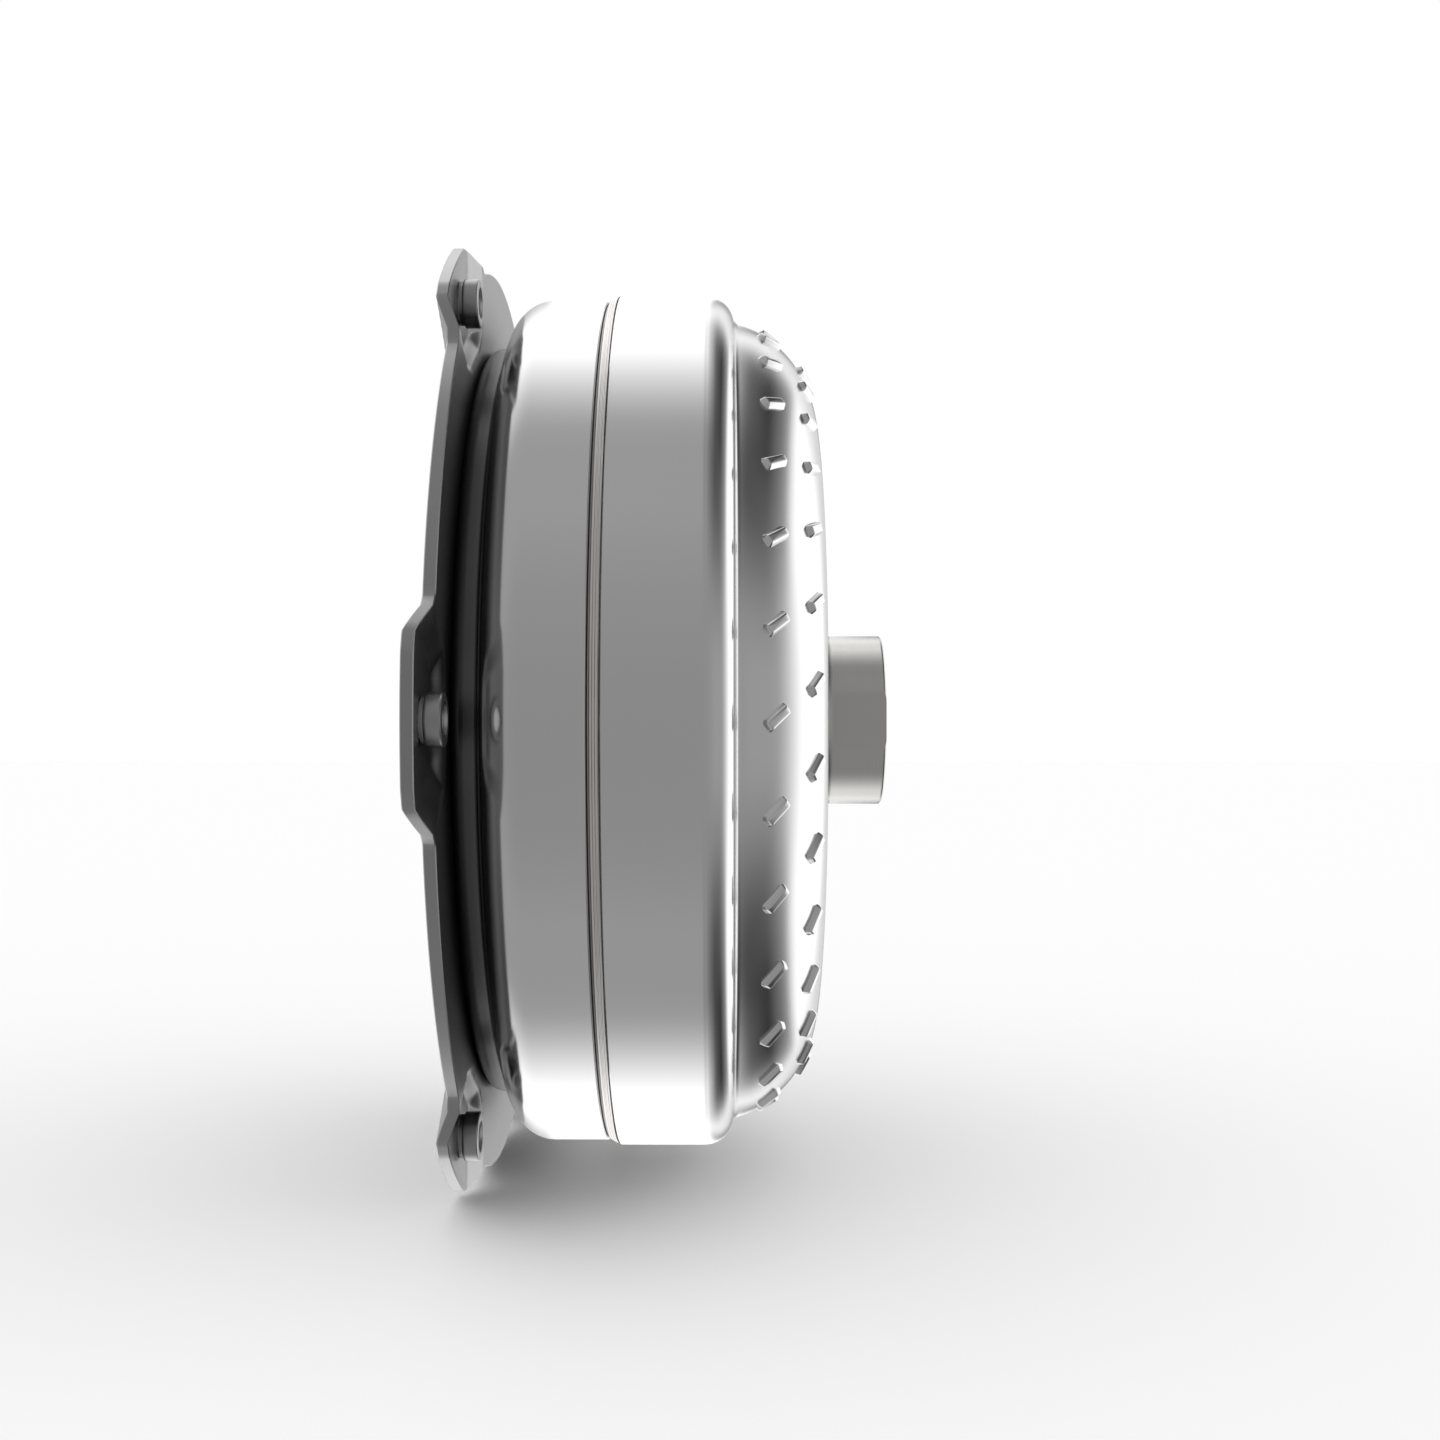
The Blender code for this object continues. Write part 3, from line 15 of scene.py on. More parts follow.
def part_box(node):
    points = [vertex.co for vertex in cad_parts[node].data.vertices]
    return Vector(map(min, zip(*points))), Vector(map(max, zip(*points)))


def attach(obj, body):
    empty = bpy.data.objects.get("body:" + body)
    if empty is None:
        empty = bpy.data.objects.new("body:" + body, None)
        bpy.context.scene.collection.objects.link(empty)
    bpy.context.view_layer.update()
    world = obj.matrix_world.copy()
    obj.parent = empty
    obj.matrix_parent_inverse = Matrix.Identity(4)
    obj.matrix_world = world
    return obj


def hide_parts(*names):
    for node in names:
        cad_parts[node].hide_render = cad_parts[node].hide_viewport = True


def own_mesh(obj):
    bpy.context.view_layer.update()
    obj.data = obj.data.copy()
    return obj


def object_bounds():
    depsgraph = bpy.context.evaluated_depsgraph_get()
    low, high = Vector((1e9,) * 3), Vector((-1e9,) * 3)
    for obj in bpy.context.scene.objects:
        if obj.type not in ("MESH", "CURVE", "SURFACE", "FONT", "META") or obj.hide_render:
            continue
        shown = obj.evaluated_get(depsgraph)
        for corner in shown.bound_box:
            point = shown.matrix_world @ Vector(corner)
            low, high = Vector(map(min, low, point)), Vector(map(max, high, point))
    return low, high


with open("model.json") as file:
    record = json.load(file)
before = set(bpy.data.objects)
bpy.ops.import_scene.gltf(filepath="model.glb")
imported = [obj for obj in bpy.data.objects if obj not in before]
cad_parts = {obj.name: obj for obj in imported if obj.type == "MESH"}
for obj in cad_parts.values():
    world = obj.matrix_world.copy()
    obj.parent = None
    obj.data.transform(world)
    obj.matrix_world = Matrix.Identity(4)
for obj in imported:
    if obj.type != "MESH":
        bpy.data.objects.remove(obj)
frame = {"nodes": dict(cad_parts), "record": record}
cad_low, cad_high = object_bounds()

# Facets round the axis
FACETS = 288
RING_FACETS = 720
SMALL_FACETS = 64

# Extra profile points close to the ends of long straight parts
LONG_PART = 0.0015
SUPPORT_DISTANCE = 0.00012

# Meshes: the least turn of an edge that stays sharp and of a corner that gets rounded, the share
# of a side that a rounding may take, the shortest such part, and how close points are merged
SHARP_DEG = 32
ROUNDED_TURN_DEG = 20
ROUNDED_SIDE_SHARE = 0.45
SHORTEST_SIDE = 1e-6
MERGE_DISTANCE = 1e-7

# Gap between a weld bead and the steel beside it
WELD_GAP = 0.0003

# Front cover
COVER_WALL = 0.005
CENTRE_FLAT_RADIUS = 0.034
CENTRE_SLOPE_RADIUS = 0.046
DISH_DEPTH = 0.0055
DISH_OUTER_RADIUS = 0.082
LAND_INNER_RADIUS = 0.093
LAND_RADIUS = 0.125
LAND_FILLET = 0.004
LAND_HEIGHT = 0.0084
COVER_CORNER_RADIUS = 0.013
COVER_FOLD = 0.0015
CREASE_LONG = 0.0009
CREASE_SHORT = 0.0002
# How far past the land's radius the cover's front keeps the painted shade
PAINTED_SHADE_MARGIN = 0.001
SPIGOT_LENGTH = 0.008
SPIGOT_STEP = 0.0025
PILOT_HOLE_RADIUS = 0.0143

# Mounting ring
RING_THICKNESS = 0.0036
RING_EDGE = 0.0003
RING_FLAT_RADII = (0.112, 0.122)
BOLT_CIRCLE_RADIUS = 0.14605
BOLT_HOLE_RADIUS = 0.0052
LUG_COUNT = 6
LUG_TIP_DEG = 6.5
LUG_CORNER_DEG = 8.7
LUG_FOOT_DEG = 12.9
LUG_CORNER_DROP = 0.0016
POCKET_END_RADIUS = 0.12749
POCKET_FLOOR_RADIUS = 0.13352
POCKET_END_SHARE = 0.35
POCKET_FLOOR_SHARE = 0.64
POCKET_STEPS = 8
PAD_STEPS = 6
OUTLINE_BLEND_DEG = 0.25
OUTLINE_BLEND_STEPS = 7

# Lug bosses
BOSS_EDGE = 0.0005
BOSS_BORE_RADIUS = 0.00425
BOSS_CHAMFER = 0.0007
BOSS_COLLAR_LENGTH = 0.0012
BOSS_COLLAR_DEPTH = 0.0008
BOSS_COLLAR_BLEND = 0.0002
THREAD_PITCH = 0.0015
THREAD_DEPTH = 0.0003

# Seam weld, and the edges of cover and shell beside it
SEAM_RIDGES = 4
SEAM_RIDGE_STEPS = 10
SEAM_RIDGE_HEIGHT = 0.00012
SEAM_NOTCH = 0.0027
SEAM_EDGE = 0.0003

# Fillet welds: ripples in a turn, facets in a ripple and steps across the bead; then its size,
# ripples, bulge and slow drift, as shares of its leg, and the drift's waves in a turn
RING_RIPPLES = 150
HUB_RIPPLES = 90
RIPPLE_FACETS = 6
FILLET_STEPS = 8
FILLET_SIZE = 0.82
RIPPLE_HEIGHT = 0.07
FILLET_BULGE = 0.25
DRIFT_HEIGHT = 0.02
DRIFT_WAVES = 7.3

# Impeller shell
SHELL_WALL = 0.004
SHOULDER_RADIUS = 0.0095
SHOULDER_OFFSET = 0.0005
SHOULDER_END_DEG = 12.0
SHOULDER_BLEND = 0.0012
SHOULDER_BLEND_STEPS = 6
TORUS_CENTRE_RADIUS = 0.098
TORUS_OUTER_RADIUS = 0.037
DOME_START_DEG = 72.0
DISH_START_DEG = -31.0
INSIDE_END_DEG = 70.0
HUB_HOLE_RADIUS = 0.0453

# Raised vane seats on the shell
VANE_COUNT = 31
SEAT_LENGTH = 0.0094
SEAT_WIDTH = 0.0042
SEAT_HEIGHT = 0.0017
SEAT_BEVEL = 0.001
SEAT_CORNER = 0.0013
SEAT_LEAST_CORNER = 0.0002
SEAT_SLANT_DEG = 38.0
SEAT_ROWS = ((55.4, 0.3), (29.0, 5.006))
SEAT_CORNER_STEPS = 6
SEAT_BEVEL_STEPS = ((-0.2, -0.15), (0.0, 0.0), (0.4, 0.44), (0.75, 0.8), (1.0, 0.95), (1.3, 1.0))
SEAT_TOP_SHARES = (0.7, 0.35, 0.02)

# Pump hub
HUB_RADIUS = 0.02876
HUB_BORE_RADIUS = 0.0205
HUB_FLANGE_THICKNESS = 0.0067
HUB_FLANGE_EDGE = 0.0008
HUB_NECK_FILLET = 0.0037
HUB_CORNER = 0.001
HUB_FLAT_DISTANCE = 0.02725
HUB_SPIGOT_RADIUS = 0.045
HUB_SHARP_DEG = 13

# Crank pilot
PILOT_EDGE = 0.0004
PILOT_RADIUS = 0.0216
PILOT_LENGTH = 0.0175
PILOT_CHAMFER = 0.0015
PILOT_FLANGE_THICKNESS = 0.0032
PILOT_SPIGOT_RADIUS = 0.014
PILOT_CENTRE_DRILL_RADIUS = 0.003
PILOT_CENTRE_DRILL_DEPTH = 0.0026
NEAR_AXIS = 1e-5

# Damper springs: wire coils along chords, with closed ends
SPRING_COUNT = 6
SPRING_TURN_DEG = 6.0
SPRING_CHORD_RADIUS = 0.06503
SPRING_HALF_LENGTH = 0.01848
SPRING_COIL_RADIUS = 0.0041
SPRING_WIRE_RADIUS = 0.0014
SPRING_ACTIVE_TURNS = 4
SPRING_END_TURNS = 0.69
SPRING_TURN_STEPS = 20
SPRING_WIRE_SIDES = 10

# Textures: noise scales per metre, the depth of a bump, and the mottle's darkest and lightest tone
PATCH_SCALE = 28.0
GRAIN_SCALE = 900.0
TOOL_RING_SCALES = (2600.0, 3.0, 3.0)
MOTTLE_SCALE = 400.0
BUMP_DEPTH = 0.0001
MOTTLE_TONES = (0.7, 1.2)

# Camera: a pinhole at the photograph's distance, level with the axis
CAMERA_DISTANCE = 0.631
CAMERA_X = 0.097
LENS_MM = 45.9
SENSOR_MM = 36.0
CLIP_START = 0.01

# Studio
FLOOR_SIZE = 12.0
FLOOR_COLOUR = (0.985, 0.985, 0.985)

# What the metal sees, as (place, strength) or (place, darkness), with places from -1 to 1: the
# backdrop from the front to the back, a dim part behind by depth and side, and the dimmer
# middle of it, which draws the outlines. STUDIO_LEAN turns the backdrop towards +X.
STUDIO_LEAN = 0.15
BACKDROP = (
    (-1.0, 0.44),
    (-0.85, 0.47),
    (-0.6, 0.54),
    (-0.3, 0.54),
    (-0.15, 0.58),
    (0.0, 0.86),
    (0.2, 1.4),
    (0.36, 1.9),
)
DIM_DEPTHS = ((0.7, 0.0), (0.93, 1.0))
DIM_SIDES = (
    (-0.3, 0.85),
    (-0.12, 0.6),
    (-0.04, 0.0),
    (0.04, 0.0),
    (0.06, 0.35),
    (0.085, 0.78),
    (0.11, 0.92),
    (0.14, 0.8),
    (0.2, 0.55),
    (0.5, 0.55),
    (0.7, 0.0),
)
OUTLINE_DEPTHS = ((0.965, 0.0), (0.99, 0.6))

# A dark band, by the slope of the steel that shows it to the front: its lean to +X, as a
# cosine, and its tilt upwards, in half turns
BAND_LEANS = (
    (0.03, 0.0),
    (0.055, 0.38),
    (0.075, 0.32),
    (0.1, 0.14),
    (0.17, 0.48),
    (0.34, 0.92),
    (0.5, 1.0),
    (0.55, 0.93),
    (0.6, 0.87),
    (0.64, 0.77),
    (0.668, 0.42),
    (0.7, 0.1),
    (0.74, 0.0),
)
BAND_TILTS = (
    (0.04, 0.0),
    (0.09, 0.26),
    (0.122, 0.54),
    (0.156, 0.76),
    (0.189, 0.88),
    (0.222, 0.965),
    (0.3, 0.985),
    (0.33, 0.96),
    (0.352, 0.82),
    (0.375, 0.42),
    (0.4, 0.22),
    (0.43, 0.0),
)

# Just over 1, so that a ray straight back has a slope as well
BACK_LIMIT = 1.0001


def edge(node, axis, side):
    """A CAD node's low (side 0) or high (side 1) place along an axis."""
    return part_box(node)[side]["XYZ".index(axis)]


def mix(start, end, share):
    """The value that lies that share of the way from start to end."""
    return start + (end - start) * share


def smooth(share):
    """A share held to 0..1, with a soft start and end."""
    share = min(max(share, 0.0), 1.0)
    return share * share * (3 - 2 * share)


def at(x, radius, degrees):
    """The point at that place along the axis, distance from it and angle round it."""
    angle = math.radians(degrees)
    return Vector((x, -radius * math.cos(angle), radius * math.sin(angle)))


def arc(x, radius, size, start, end, steps):
    """Profile points on an arc round (x, radius); 0 degrees points to +X and 90 outwards."""
    points = []
    for step in range(steps + 1):
        angle = math.radians(start + (end - start) * step / steps)
        points.append((x + size * math.cos(angle), radius + size * math.sin(angle)))
    return points


def rounded(profile, size, steps=4):
    """The closed profile with its corners rounded, each by at most that distance."""
    points = []
    count = len(profile)
    for index in range(count):
        before = Vector(profile[index - 1])
        corner = Vector(profile[index])
        after = Vector(profile[(index + 1) % count])
        back, forth = before - corner, after - corner
        reach = min(size, back.length * ROUNDED_SIDE_SHARE, forth.length * ROUNDED_SIDE_SHARE)
        turn = math.degrees(back.angle(-forth)) if reach > SHORTEST_SIDE else 0
        if turn < ROUNDED_TURN_DEG:
            points.append(tuple(corner))
            continue
        start = corner + back.normalized() * reach
        end = corner + forth.normalized() * reach
        for step in range(steps + 1):
            share = step / steps
            first = start.lerp(corner, share)
            points.append(tuple(first.lerp(corner.lerp(end, share), share)))
    return points


def shade(data, sharp_deg=SHARP_DEG):
    """Shade a mesh smooth, apart from its edges that turn by more than the angle."""
    data.shade_smooth()
    data.set_sharp_from_angle(angle=math.radians(sharp_deg))


def new_object(name, vertices, faces, finish, body="housing"):
    """A smooth shaded mesh object that rides on a body of the frame.
    """
    data = bpy.data.meshes.new(name)
    data.from_pydata(vertices, [], faces)
    mesh = bmesh.new()
    mesh.from_mesh(data)
    bmesh.ops.remove_doubles(mesh, verts=mesh.verts, dist=MERGE_DISTANCE)
    bmesh.ops.recalc_face_normals(mesh, faces=mesh.faces)
    mesh.to_mesh(data)
    mesh.free()
    shade(data)
    data.materials.append(finish)
    thing = bpy.data.objects.new(name, data)
    bpy.context.scene.collection.objects.link(thing)
    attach(thing, body)
    return thing


def swept_geometry(profile_at, facets):
    """Vertices and faces of a closed profile carried round the axis; it may vary on the way."""
    vertices = []
    faces = []
    for facet in range(facets):
        degrees = 360 * facet / facets
        profile = profile_at(degrees)
        vertices += [at(x, radius, degrees) for x, radius in profile]
    count = len(vertices) // facets
    for facet in range(facets):
        here = facet * count
        there = (facet + 1) % facets * count
        for point in range(count):
            after = (point + 1) % count
            faces.append((here + point, here + after, there + after, there + point))
    return vertices, faces


def supported(profile):
    """The closed profile with points added close to the ends of its long straight parts.

    They keep the soft shading of a corner from spreading along the straight part beside it.
    """
    points = []
    for index, start in enumerate(profile):
        end = profile[(index + 1) % len(profile)]
        length = math.dist(start, end)
        points.append(start)
        if length > LONG_PART:
            for share in (SUPPORT_DISTANCE / length, 1 - SUPPORT_DISTANCE / length):
                points.append((mix(start[0], end[0], share), mix(start[1], end[1], share)))
    return points


def turned(name, profile, facets, finish):
    """A piece turned from a closed profile, which rides on the housing."""
    profile = supported(profile)
    vertices, faces = swept_geometry(lambda degrees: profile, facets)
    return new_object(name, vertices, faces, finish)


def cut(thing, cutter):
    """Apply an exact Boolean difference and throw the cutter away."""
    step = thing.modifiers.new("Cut", "BOOLEAN")
    step.operation = "DIFFERENCE"
    step.solver = "EXACT"
    step.object = cutter
    bpy.context.view_layer.update()
    result = bpy.data.meshes.new_from_object(thing.evaluated_get(bpy.context.evaluated_depsgraph_get()))
    thing.modifiers.remove(step)
    thing.data = result
    bpy.data.objects.remove(cutter)
    shade(result)


def cutter_object(mesh):
    """A plain object round a bmesh, for a Boolean."""
    data = bpy.data.meshes.new("cutter")
    mesh.to_mesh(data)
    mesh.free()
    thing = bpy.data.objects.new("cutter", data)
    bpy.context.scene.collection.objects.link(thing)
    return thing


def noise(tree, vector, scale, detail):
    """The factor socket of a noise texture on a socket of places."""
    node = tree.nodes.new("ShaderNodeTexNoise")
    node.inputs["Scale"].default_value = scale
    node.inputs["Detail"].default_value = detail
    tree.links.new(vector, node.inputs["Vector"])
    return node.outputs["Fac"]


def metal(name, colour, roughness, wear=0.06, grain=0.0, rings=0.0):
    """Bare metal: patchy roughness and either tool rings along X or a fine grain."""
    made = bpy.data.materials.new(name)
    made.use_nodes = True
    tree = made.node_tree
    nodes = tree.nodes
    links = tree.links
    shader = nodes["Principled BSDF"]
    shader.inputs["Base Color"].default_value = (*colour, 1.0)
    shader.inputs["Metallic"].default_value = 1.0
    place = nodes.new("ShaderNodeTexCoord").outputs["Object"]

    spread = nodes.new("ShaderNodeMapRange")
    spread.inputs["To Min"].default_value = roughness - wear
    spread.inputs["To Max"].default_value = roughness + wear
    links.new(noise(tree, place, PATCH_SCALE, 6.0), spread.inputs["Value"])
    links.new(spread.outputs["Result"], shader.inputs["Roughness"])

    if rings:
        stretch = nodes.new("ShaderNodeMapping")
        stretch.inputs["Scale"].default_value = TOOL_RING_SCALES
        links.new(place, stretch.inputs["Vector"])
        height = noise(tree, stretch.outputs["Vector"], 1.0, 2.0)
    elif grain:
        height = noise(tree, place, GRAIN_SCALE, 3.0)
    if rings or grain:
        bump = nodes.new("ShaderNodeBump")
        bump.inputs["Strength"].default_value = rings or grain
        bump.inputs["Distance"].default_value = BUMP_DEPTH
        links.new(height, bump.inputs["Height"])
        links.new(bump.outputs["Normal"], shader.inputs["Normal"])
    return made


def matte(name, colour, roughness):
    """Paper or rubber with a slight mottle."""
    made = bpy.data.materials.new(name)
    made.use_nodes = True
    nodes = made.node_tree.nodes
    links = made.node_tree.links
    shader = nodes["Principled BSDF"]
    shader.inputs["Roughness"].default_value = roughness
    place = nodes.new("ShaderNodeTexCoord")
    mottle = nodes.new("ShaderNodeTexNoise")
    mottle.inputs["Scale"].default_value = MOTTLE_SCALE
    links.new(place.outputs["Object"], mottle.inputs["Vector"])
    tones = nodes.new("ShaderNodeValToRGB")
    for element, tone in zip(tones.color_ramp.elements, MOTTLE_TONES):
        element.color = (*(tone * part for part in colour), 1.0)
    links.new(mottle.outputs["Fac"], tones.inputs["Fac"])
    links.new(tones.outputs["Color"], shader.inputs["Base Color"])
    return made


def make_finishes():
    """One material for each of the record's slots, and one dark steel for the painted shade on the
    cover's front.
    """
    return {
        "satin_steel": metal("satin_steel", (0.56, 0.56, 0.56), 0.17, wear=0.02, grain=0.02),
        "flange_steel": metal("flange_steel", (0.29, 0.29, 0.295), 0.32, wear=0.03, grain=0.1),
        # A dark steel whose colour paints the shade on the cover's land, dish and middle
        "painted_shade_steel": metal("painted_shade_steel", (0.12, 0.12, 0.12), 0.32, wear=0.04, grain=0.15),
        "weld_steel": metal("weld_steel", (0.62, 0.605, 0.59), 0.34, grain=0.1),
        "turned_steel": metal("turned_steel", (0.46, 0.45, 0.435), 0.22, rings=0.3),
        "pressed_steel": metal("pressed_steel", (0.4, 0.41, 0.42), 0.38, grain=0.1),
        "spring_steel": metal("spring_steel", (0.2, 0.21, 0.23), 0.35),
        "cast_aluminium": metal("cast_aluminium", (0.66, 0.67, 0.68), 0.5, grain=0.3),
        "washer_bronze": metal("washer_bronze", (0.62, 0.43, 0.2), 0.38, rings=0.08),
        "friction_paper": matte("friction_paper", (0.3, 0.2, 0.12), 0.85),
        "seal_rubber": matte("seal_rubber", (0.05, 0.05, 0.05), 0.7),
    }


def dress_cad_nodes(finishes):
    """Give every CAD node the finish of its slot in the record."""
    slots = {entry["node"]: entry["material_slot"] for entry in frame["record"]["subparts"]}
    for name, node in frame["nodes"].items():
        node.data.materials.clear()
        node.data.materials.append(finishes[slots[name]])


def cover_profile():
    """The drawn cover: dished middle, raised land, large corner, skirt and spigot."""
    centre_x = edge("front_cover", "X", 0)
    radius = edge("front_cover", "Z", 1)
    land_x = edge("ring_weld_bead", "X", 1) + WELD_GAP
    dish_x = centre_x + DISH_DEPTH
    crease_x = land_x + LAND_HEIGHT
    corner_x = crease_x + COVER_CORNER_RADIUS
    spigot_x = edge("front_cover", "X", 1)
    seam_x = spigot_x - SPIGOT_LENGTH
    inside = radius - COVER_WALL
    back_x = crease_x + COVER_WALL
    corner_r = radius - COVER_CORNER_RADIUS
    outside = (
        [
            (centre_x, PILOT_HOLE_RADIUS),
            (centre_x, CENTRE_FLAT_RADIUS),
            (dish_x, CENTRE_SLOPE_RADIUS),
            (dish_x, DISH_OUTER_RADIUS),
            (land_x, LAND_INNER_RADIUS),
        ]
        + arc(land_x + LAND_FILLET, LAND_RADIUS - LAND_FILLET, LAND_FILLET, 180, 90, steps=8)
        + [
            (crease_x - CREASE_LONG, LAND_RADIUS + CREASE_SHORT),
            (crease_x - CREASE_SHORT, LAND_RADIUS + CREASE_LONG),
        ]
        + arc(corner_x, corner_r, COVER_CORNER_RADIUS, 176, 90, steps=20)
        + [(seam_x - SEAM_EDGE, radius), (seam_x, radius - SEAM_EDGE)]
    )
    within = [
        (seam_x, radius - SPIGOT_STEP),
        (spigot_x, radius - SPIGOT_STEP),
        (spigot_x, inside),
    ]
    within += arc(corner_x, inside - COVER_WALL, COVER_WALL, 90, 150, steps=5)
    within += [
        (back_x, LAND_RADIUS),
        (land_x + COVER_WALL, LAND_RADIUS - COVER_WALL),
        (land_x + COVER_WALL, LAND_INNER_RADIUS + COVER_WALL / 3),
        (dish_x + COVER_WALL, DISH_OUTER_RADIUS + COVER_WALL / 3),
        (dish_x + COVER_WALL, CENTRE_SLOPE_RADIUS),
        (centre_x + COVER_WALL, CENTRE_FLAT_RADIUS),
        (centre_x + COVER_WALL, PILOT_HOLE_RADIUS),
    ]
    return outside + within


def make_cover(finishes):
    """Front cover, with soft press radii at its folds; in front of its corner its colour is darkened, a
    painted shade.
    """
    profile = rounded(cover_profile(), COVER_FOLD)
    cover = turned("cover_fine", profile, FACETS, finishes["satin_steel"])
    cover.data.materials.append(finishes["painted_shade_steel"])
    crease_x = edge("ring_weld_bead", "X", 1) + LAND_HEIGHT
    # Faces in front of the corner and inside the land's radius take the dark steel: painted shade
    # beside the ring, spread over the dish and the middle too
    for face in cover.data.polygons:
        radius = math.hypot(face.center.y, face.center.z)
        if face.center.x < crease_x and radius < LAND_RADIUS + PAINTED_SHADE_MARGIN:
            face.material_index = 1
    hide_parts("front_cover")


def lug_offset(degrees):
    """Angle from the middle of the nearest lug, without its sign."""
    pitch = 360 / LUG_COUNT
    return abs((degrees + pitch / 2) % pitch - pitch / 2)


def rim_radius(degrees, rim, tip):
    """The ring's outline at an angle, with its corners blended."""
    corner = tip - LUG_CORNER_DROP
    total = 0.0
    for step in range(OUTLINE_BLEND_STEPS):
        aside = 2 * step / (OUTLINE_BLEND_STEPS - 1) - 1
        offset = lug_offset(degrees + OUTLINE_BLEND_DEG * aside)
        if offset >= LUG_FOOT_DEG:
            total += rim
        elif offset >= LUG_CORNER_DEG:
            total += mix(rim, corner, (LUG_FOOT_DEG - offset) / (LUG_FOOT_DEG - LUG_CORNER_DEG))
        elif offset >= LUG_TIP_DEG:
            total += mix(corner, tip, (LUG_CORNER_DEG - offset) / (LUG_CORNER_DEG - LUG_TIP_DEG))
        else:
            total += tip
    return total / OUTLINE_BLEND_STEPS


def pad_share(degrees, radius, tip):
    """How far the ring is embossed at a point: 0 on the flat ring and 1 on a lug's pad."""
    if radius <= POCKET_END_RADIUS:
        return 0.0
    if radius < POCKET_FLOOR_RADIUS:
        inwards = (radius - POCKET_END_RADIUS) / (POCKET_FLOOR_RADIUS - POCKET_END_RADIUS)
        width = mix(POCKET_END_SHARE, POCKET_FLOOR_SHARE, inwards)
    else:
        inwards = 1.0
        outwards = (radius - POCKET_FLOOR_RADIUS) / (tip - POCKET_FLOOR_RADIUS)
        width = mix(POCKET_FLOOR_SHARE, 1.0, outwards)
    foot = LUG_FOOT_DEG * width
    top = LUG_CORNER_DEG * width
    sideways = (foot - lug_offset(degrees)) / (foot - top)
    return smooth(inwards) * min(max(sideways, 0.0), 1.0)


def make_ring(finishes):
    """Mounting ring with its embossed lugs and bolt holes."""
    pad_x = edge("mounting_ring", "X", 0)
    flat_x = edge("mounting_ring", "X", 1) - RING_THICKNESS
    lift = flat_x - pad_x
    rim = edge("mounting_ring", "Z", 1)
    tip = edge("mounting_ring", "Y", 1)
    hole = edge("ring_weld_bead", "Z", 1) + WELD_GAP

    def profile_at(degrees):
        """The ring's section at an angle."""
        edge_radius = rim_radius(degrees, rim, tip)
        radii = [hole, hole + RING_EDGE, *RING_FLAT_RADII, POCKET_END_RADIUS]
        for step in range(1, POCKET_STEPS + 1):
            radii.append(mix(POCKET_END_RADIUS, POCKET_FLOOR_RADIUS, step / POCKET_STEPS))
        for step in range(1, PAD_STEPS + 1):
            radii.append(mix(POCKET_FLOOR_RADIUS, edge_radius - RING_EDGE, step / PAD_STEPS))
        front = []
        back = []
        for radius in radii:
            x = flat_x - lift * pad_share(degrees, radius, tip)
            front.append((x, radius))
            back.append((x + RING_THICKNESS, radius))
        rim_x = front[-1][0]
        hole_x = front[0][0]
        front[0] = (hole_x + RING_EDGE, hole)
        back[0] = (hole_x + RING_THICKNESS - RING_EDGE, hole)
        rim_face = [
            (rim_x + RING_EDGE, edge_radius),
            (rim_x + RING_THICKNESS - RING_EDGE, edge_radius),
        ]
        return front + rim_face + back[::-1]

    vertices, faces = swept_geometry(profile_at, RING_FACETS)
    ring = new_object("ring_fine", vertices, faces, finishes["flange_steel"])
    mesh = bmesh.new()
    for lug in range(LUG_COUNT):
        place = Matrix.Translation(at(pad_x, BOLT_CIRCLE_RADIUS, lug * 360 / LUG_COUNT))
        bmesh.ops.create_cone(
            mesh,
            cap_ends=True,
            segments=SMALL_FACETS,
            radius1=BOLT_HOLE_RADIUS,
            radius2=BOLT_HOLE_RADIUS,
            depth=4 * RING_THICKNESS,
            matrix=place @ Matrix.Rotation(math.pi / 2, 4, "Y"),
        )
    cut(ring, cutter_object(mesh))
    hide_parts("mounting_ring")


def make_bosses(finishes):
    """Threaded bosses behind the lugs."""
    foot_x = edge("lug_boss_1", "X", 0)
    end_x = edge("lug_boss_1", "X", 1)
    boss = (edge("lug_boss_1", "Y", 1) - edge("lug_boss_1", "Y", 0)) / 2
    neck = boss - BOSS_COLLAR_DEPTH
    collar_x = foot_x + BOSS_COLLAR_LENGTH
    profile = [
        (foot_x, neck),
        (collar_x - BOSS_COLLAR_BLEND, neck),
        (collar_x + BOSS_COLLAR_BLEND, boss - BOSS_COLLAR_BLEND / 2),
        (collar_x + 3 * BOSS_COLLAR_BLEND, boss),
        (end_x - BOSS_EDGE, boss),
        (end_x - BOSS_EDGE / 3, boss - BOSS_EDGE / 3),
        (end_x, boss - BOSS_EDGE),
        (end_x, BOSS_BORE_RADIUS + BOSS_CHAMFER),
        (end_x - BOSS_CHAMFER, BOSS_BORE_RADIUS),
    ]
    x = end_x - BOSS_CHAMFER - THREAD_PITCH / 2
    while x > foot_x + THREAD_PITCH:
        profile.append((x, BOSS_BORE_RADIUS + THREAD_DEPTH))
        profile.append((x - THREAD_PITCH / 2, BOSS_BORE_RADIUS))
        x -= THREAD_PITCH
    profile.append((foot_x, BOSS_BORE_RADIUS))
    profile = supported(profile)
    vertices, faces = swept_geometry(lambda degrees: profile, SMALL_FACETS)
    for lug in range(LUG_COUNT):
        centre = at(0, BOLT_CIRCLE_RADIUS, lug * 360 / LUG_COUNT)
        moved = [point + centre for point in vertices]
        boss_fine = new_object(f"boss_fine_{lug + 1}", moved, faces, finishes["flange_steel"])
        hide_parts(f"lug_boss_{lug + 1}")


